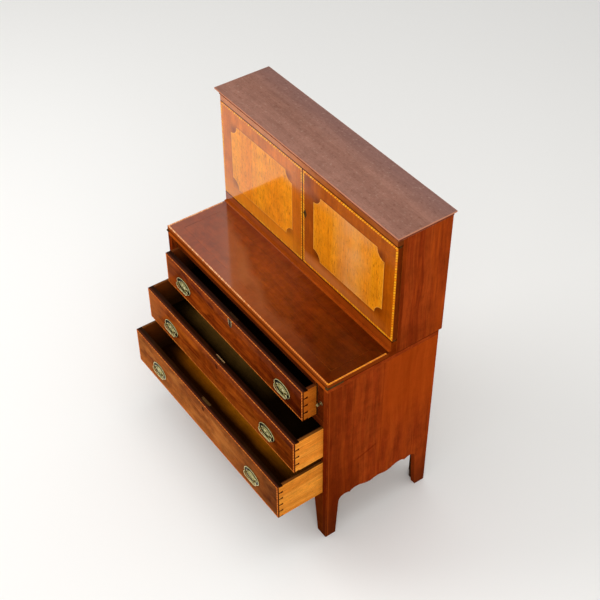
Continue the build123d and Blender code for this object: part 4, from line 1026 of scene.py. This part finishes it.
# How near two points are merged, how wide the timber's arrises are eased, and from what turn on
MERGE_REACH, WELD_REACH = MM / 1000, MM / 100
EASE_WIDTH, EASE_ANGLE = 0.9 * MM, radians(50)


def finish_piece(shape, name, body, material, stands_for):
    """Turns a bmesh into a piece that rides on a body and stands for a CAD node."""
    bmesh.ops.remove_doubles(shape, verts=shape.verts, dist=MERGE_REACH)
    bmesh.ops.recalc_face_normals(shape, faces=shape.faces)
    mesh = bpy.data.meshes.new(name)
    shape.to_mesh(mesh)
    shape.free()
    mesh.shade_smooth()
    mesh.materials.append(material)
    piece = bpy.data.objects.new(name, mesh)
    bpy.context.scene.collection.objects.link(piece)
    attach(piece, body)
    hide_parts(stands_for)


def fresh_points(shape):
    """The points made since the last call, marked so that the next call leaves them out."""
    fresh = [vert for vert in shape.verts if not vert.tag]
    for vert in fresh:
        vert.tag = True
    return fresh


def lathe(shape, section, place, steps):
    """Turns a section about a line that runs to the front from a place."""
    corners = [shape.verts.new((radius * MM, -reach * MM, 0)) for radius, reach in section]
    edges = [shape.edges.new(pair) for pair in zip(corners, corners[1:])]
    bmesh.ops.spin(shape, geom=corners + edges, cent=(0, 0, 0), axis=(0, 1, 0), steps=steps, angle=2 * pi,
                   use_merge=True)
    made = fresh_points(shape)
    bmesh.ops.translate(shape, verts=made, vec=place)
    return made


def oval_plate(shape, middle):
    """A stamped oval plate: a raised bead at the rim, a dark hollow, and fluted rays round an oval boss."""
    section = [(share / MM, reach) for share, reach in PLATE_SECTION]
    made = lathe(shape, section, (0, 0, 0), PLATE_STEPS)
    for vert in made:
        share = (vert.co.x ** 2 + vert.co.z ** 2) ** 0.5
        if RAY_SHARES[0] < share < RAY_SHARES[1]:
            turn = Vector((vert.co.x, vert.co.z)).angle_signed(Vector((1, 0)), 0)
            step = round(turn / (2 * pi / PLATE_STEPS))
            vert.co.y -= RAY_DEPTH * cos(step * pi / 2)
    bmesh.ops.scale(shape, verts=made, vec=(PLATE_HALF_LENGTH, 1, PLATE_HALF_HEIGHT))
    bmesh.ops.translate(shape, verts=made, vec=middle)


def square_nut(shape, place):
    """The nut that holds a post from inside the drawer, its seat at the given place."""
    x, seat, z = place
    nut = bmesh.ops.create_cube(shape, size=1)["verts"]
    bmesh.ops.scale(shape, verts=nut, vec=(NUT_WIDTH, NUT_THICKNESS, NUT_WIDTH))
    bmesh.ops.translate(shape, verts=nut, vec=(x, seat + NUT_THICKNESS / 2, z))
    rims = list({edge_shade_and_highlight for vert in nut for edge_shade_and_highlight in vert.link_edges})
    bmesh.ops.bevel(shape, geom=rims, offset=NUT_EASE, affect="EDGES", segments=2, profile=0.5, material=-1)
    fresh_points(shape)


def drawer_handles(number, material):
    """Both oval handles of a drawer: plates, posts, bolts and square nuts."""
    name = f"drawer_{number}_handle_plates"
    low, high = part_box(name)
    front, inner = (corner.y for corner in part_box(f"drawer_{number}_front"))
    height = (low.z + high.z) / 2
    place = high.x - PLATE_HALF_LENGTH
    shape = bmesh.new()
    for middle in (-place, place):
        oval_plate(shape, (middle, front, height))
        for x in (middle - POST_REACH, middle + POST_REACH):
            lathe(shape, POST_SECTION, (x, front, height), POST_STEPS)
            lathe(shape, BOLT_SECTION, (x, front, height), BOLT_STEPS)
            square_nut(shape, (x, inner, height))
    finish_piece(shape, f"drawer_{number}_oval_handles", f"drawer_{number}", material, name)


def swan_bail(number, side, material):
    """A swan-necked bail, fuller at the middle of its grip, hanging from its posts."""
    body = f"drawer_{number}_bail_{side}"
    low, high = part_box(body)
    middle = (low + high) / 2
    axis_height = high.z - BAIL_AXIS_DROP
    path = BAIL_PATH + tuple((-out, up, radius) for out, up, radius in reversed(BAIL_PATH))
    curve = bpy.data.curves.new(body + "_line", "CURVE")
    curve.dimensions = "3D"
    curve.bevel_depth = MM
    curve.bevel_resolution = 5
    curve.use_fill_caps = True
    curve.resolution_u = 8
    spline = curve.splines.new("NURBS")
    spline.points.add(len(path) - 1)
    for point, (out, up, radius) in zip(spline.points, path):
        point.co = (middle.x + out * MM, middle.y, axis_height + up * MM, 1)
        point.radius = radius
    spline.order_u = 3
    spline.use_endpoint_u = True
    rod = bpy.data.objects.new(body + "_line", curve)
    bpy.context.scene.collection.objects.link(rod)
    bpy.context.view_layer.update()
    shape = bmesh.new()
    shape.from_mesh(bpy.data.meshes.new_from_object(rod))
    bpy.data.objects.remove(rod)
    finish_piece(shape, f"drawer_{number}_swan_bail_{side}", body, material, body)


def turned_knob(side, material):
    """The small turned knob on a loper's end."""
    name = f"loper_{side}_knob"
    low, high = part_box(name)
    middle = (low + high) / 2
    reach = KNOB_SECTION[-1][1] * MM
    shape = bmesh.new()
    lathe(shape, KNOB_SECTION, (middle.x, low.y + reach, middle.z), KNOB_STEPS)
    finish_piece(shape, f"{side}_loper_turned_knob", f"{side}_loper", material, name)


def ease_edges(*names):
    """Takes the sharpness off the arrises of CAD timber."""
    for name in names:
        node = nodes[name]
        weld = node.modifiers.new("joined", "WELD")
        weld.merge_threshold = WELD_REACH
        eased = node.modifiers.new("eased", "BEVEL")
        eased.width = EASE_WIDTH
        eased.segments = 2
        eased.limit_method = "ANGLE"
        eased.angle_limit = EASE_ANGLE


def dress_cases():
    """The timber and leather of both cases, the leaf and the lopers."""
    dress(side_mahogany("lower_side_mahogany"), "side_left", "side_right")
    dress(upper_side_mahogany("upper_side_mahogany"), "upper_side_left", "upper_side_right")
    dress(top_mahogany("top_mahogany"), "top_board")
    dress(leaf_mahogany("leaf_mahogany"), "leaf")
    dress(leaf_edging("leaf_edging"), "leaf_banding")
    dress(sub_top_mahogany("sub_top_mahogany"), "sub_top")
    frieze_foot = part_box("frieze_rail")[0].z
    base_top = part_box("base_rail")[1].z
    dress(rail_mahogany("frieze_mahogany", FRIEZE_RED, frieze_foot, 0.62), "frieze_rail")
    dress(rail_mahogany("base_rail_mahogany", RAIL_RED, base_top, 0.9), "base_rail")
    dress(plain_timber("rail_mahogany", "X", DEEP_RED, 3.3), "drawer_rails", "front_apron")
    dress(plain_timber("loper_mahogany", "Y", DEEP_RED, 4.9), "loper_left", "loper_right")
    # Pine darkened as painted shade
    dress(plain_timber("shaded_pine", "Z", SHADED_PINE, 5.2), "foot_brackets", "loper_partitions")
    dress(dry_pine("inner_pine", "X", 0.2), "case_bottom", "cupboard_floor", "pigeonholes")
    dress(dry_pine("runner_pine", "Y", 2.2), "drawer_runners")
    dress(dry_pine("back_pine", "Z", 1.2, in_boards=True), "lower_back", "upper_back")
    dress(green_leather("writing_leather"), "top_leather", "leaf_leather")


def dress_doors():
    """Both doors: core, surround and panel."""
    dress(plain_timber("door_mahogany", "Z", DEEP_RED, 4.4), "door_left", "door_right")
    for side in ("left", "right"):
        dress(door_edging(f"door_{side}_edging", side, EDGING_TONES[side]), f"door_{side}_banding")
        dress(satinwood(f"door_{side}_satinwood", side, PANEL_TONES[side]), f"door_{side}_panel")


def dress_drawer(number, front, lining, bottom, reflection_at_left, shade_at_right, shade_depth, shade_right_end):
    """A drawer's front, linings and bottom."""
    name = f"drawer_{number}"
    dress(drawer_mahogany(f"{name}_mahogany", number, front, reflection_at_left, shade_at_right), f"{name}_front")
    dress(drawer_oak(f"{name}_lining_oak", number, lining), f"{name}_box")
    dress(bottom_oak(f"{name}_bottom_oak", number, bottom, shade_depth, shade_right_end), f"{name}_bottom")


def fit_brass():
    """Hinges, locks, handles, bails and knobs."""
    dress(dull_brass("hinge_brass"), "table_hinges_fixed", "table_hinges_leaf", "door_hinges_fixed",
          "door_left_hinges", "door_right_hinges", "door_lock", "drawer_3_lock")
    dress(lock_brass("drawer_1_lock_brass", 1), "drawer_1_lock")
    dress(lock_brass("drawer_2_lock_brass", 2), "drawer_2_lock")
    for number in DRAWER_LOOKS:
        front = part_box(f"drawer_{number}_front")[0].y
        drawer_handles(number, aged_brass(f"drawer_{number}_plate_brass", PLATE_BRASS, front))
        for side in ("left", "right"):
            swan_bail(number, side, aged_brass(f"drawer_{number}_{side}_bail_brass", BAIL_BRASS))
    for side in ("left", "right"):
        turned_knob(side, aged_brass(f"{side}_knob_brass", KNOB_BRASS))


bpy.context.scene.view_settings.view_transform = "Standard"
place_camera()
lay_floor()
light_surround()
hang_lamps()
dress_cases()
dress_doors()
for number, looks in DRAWER_LOOKS.items():
    dress_drawer(number, **looks)
fit_brass()
ease_edges("side_left", "side_right", "sub_top", "upper_side_left", "upper_side_right", "base_rail",
           "frieze_rail", "leaf", "front_apron")
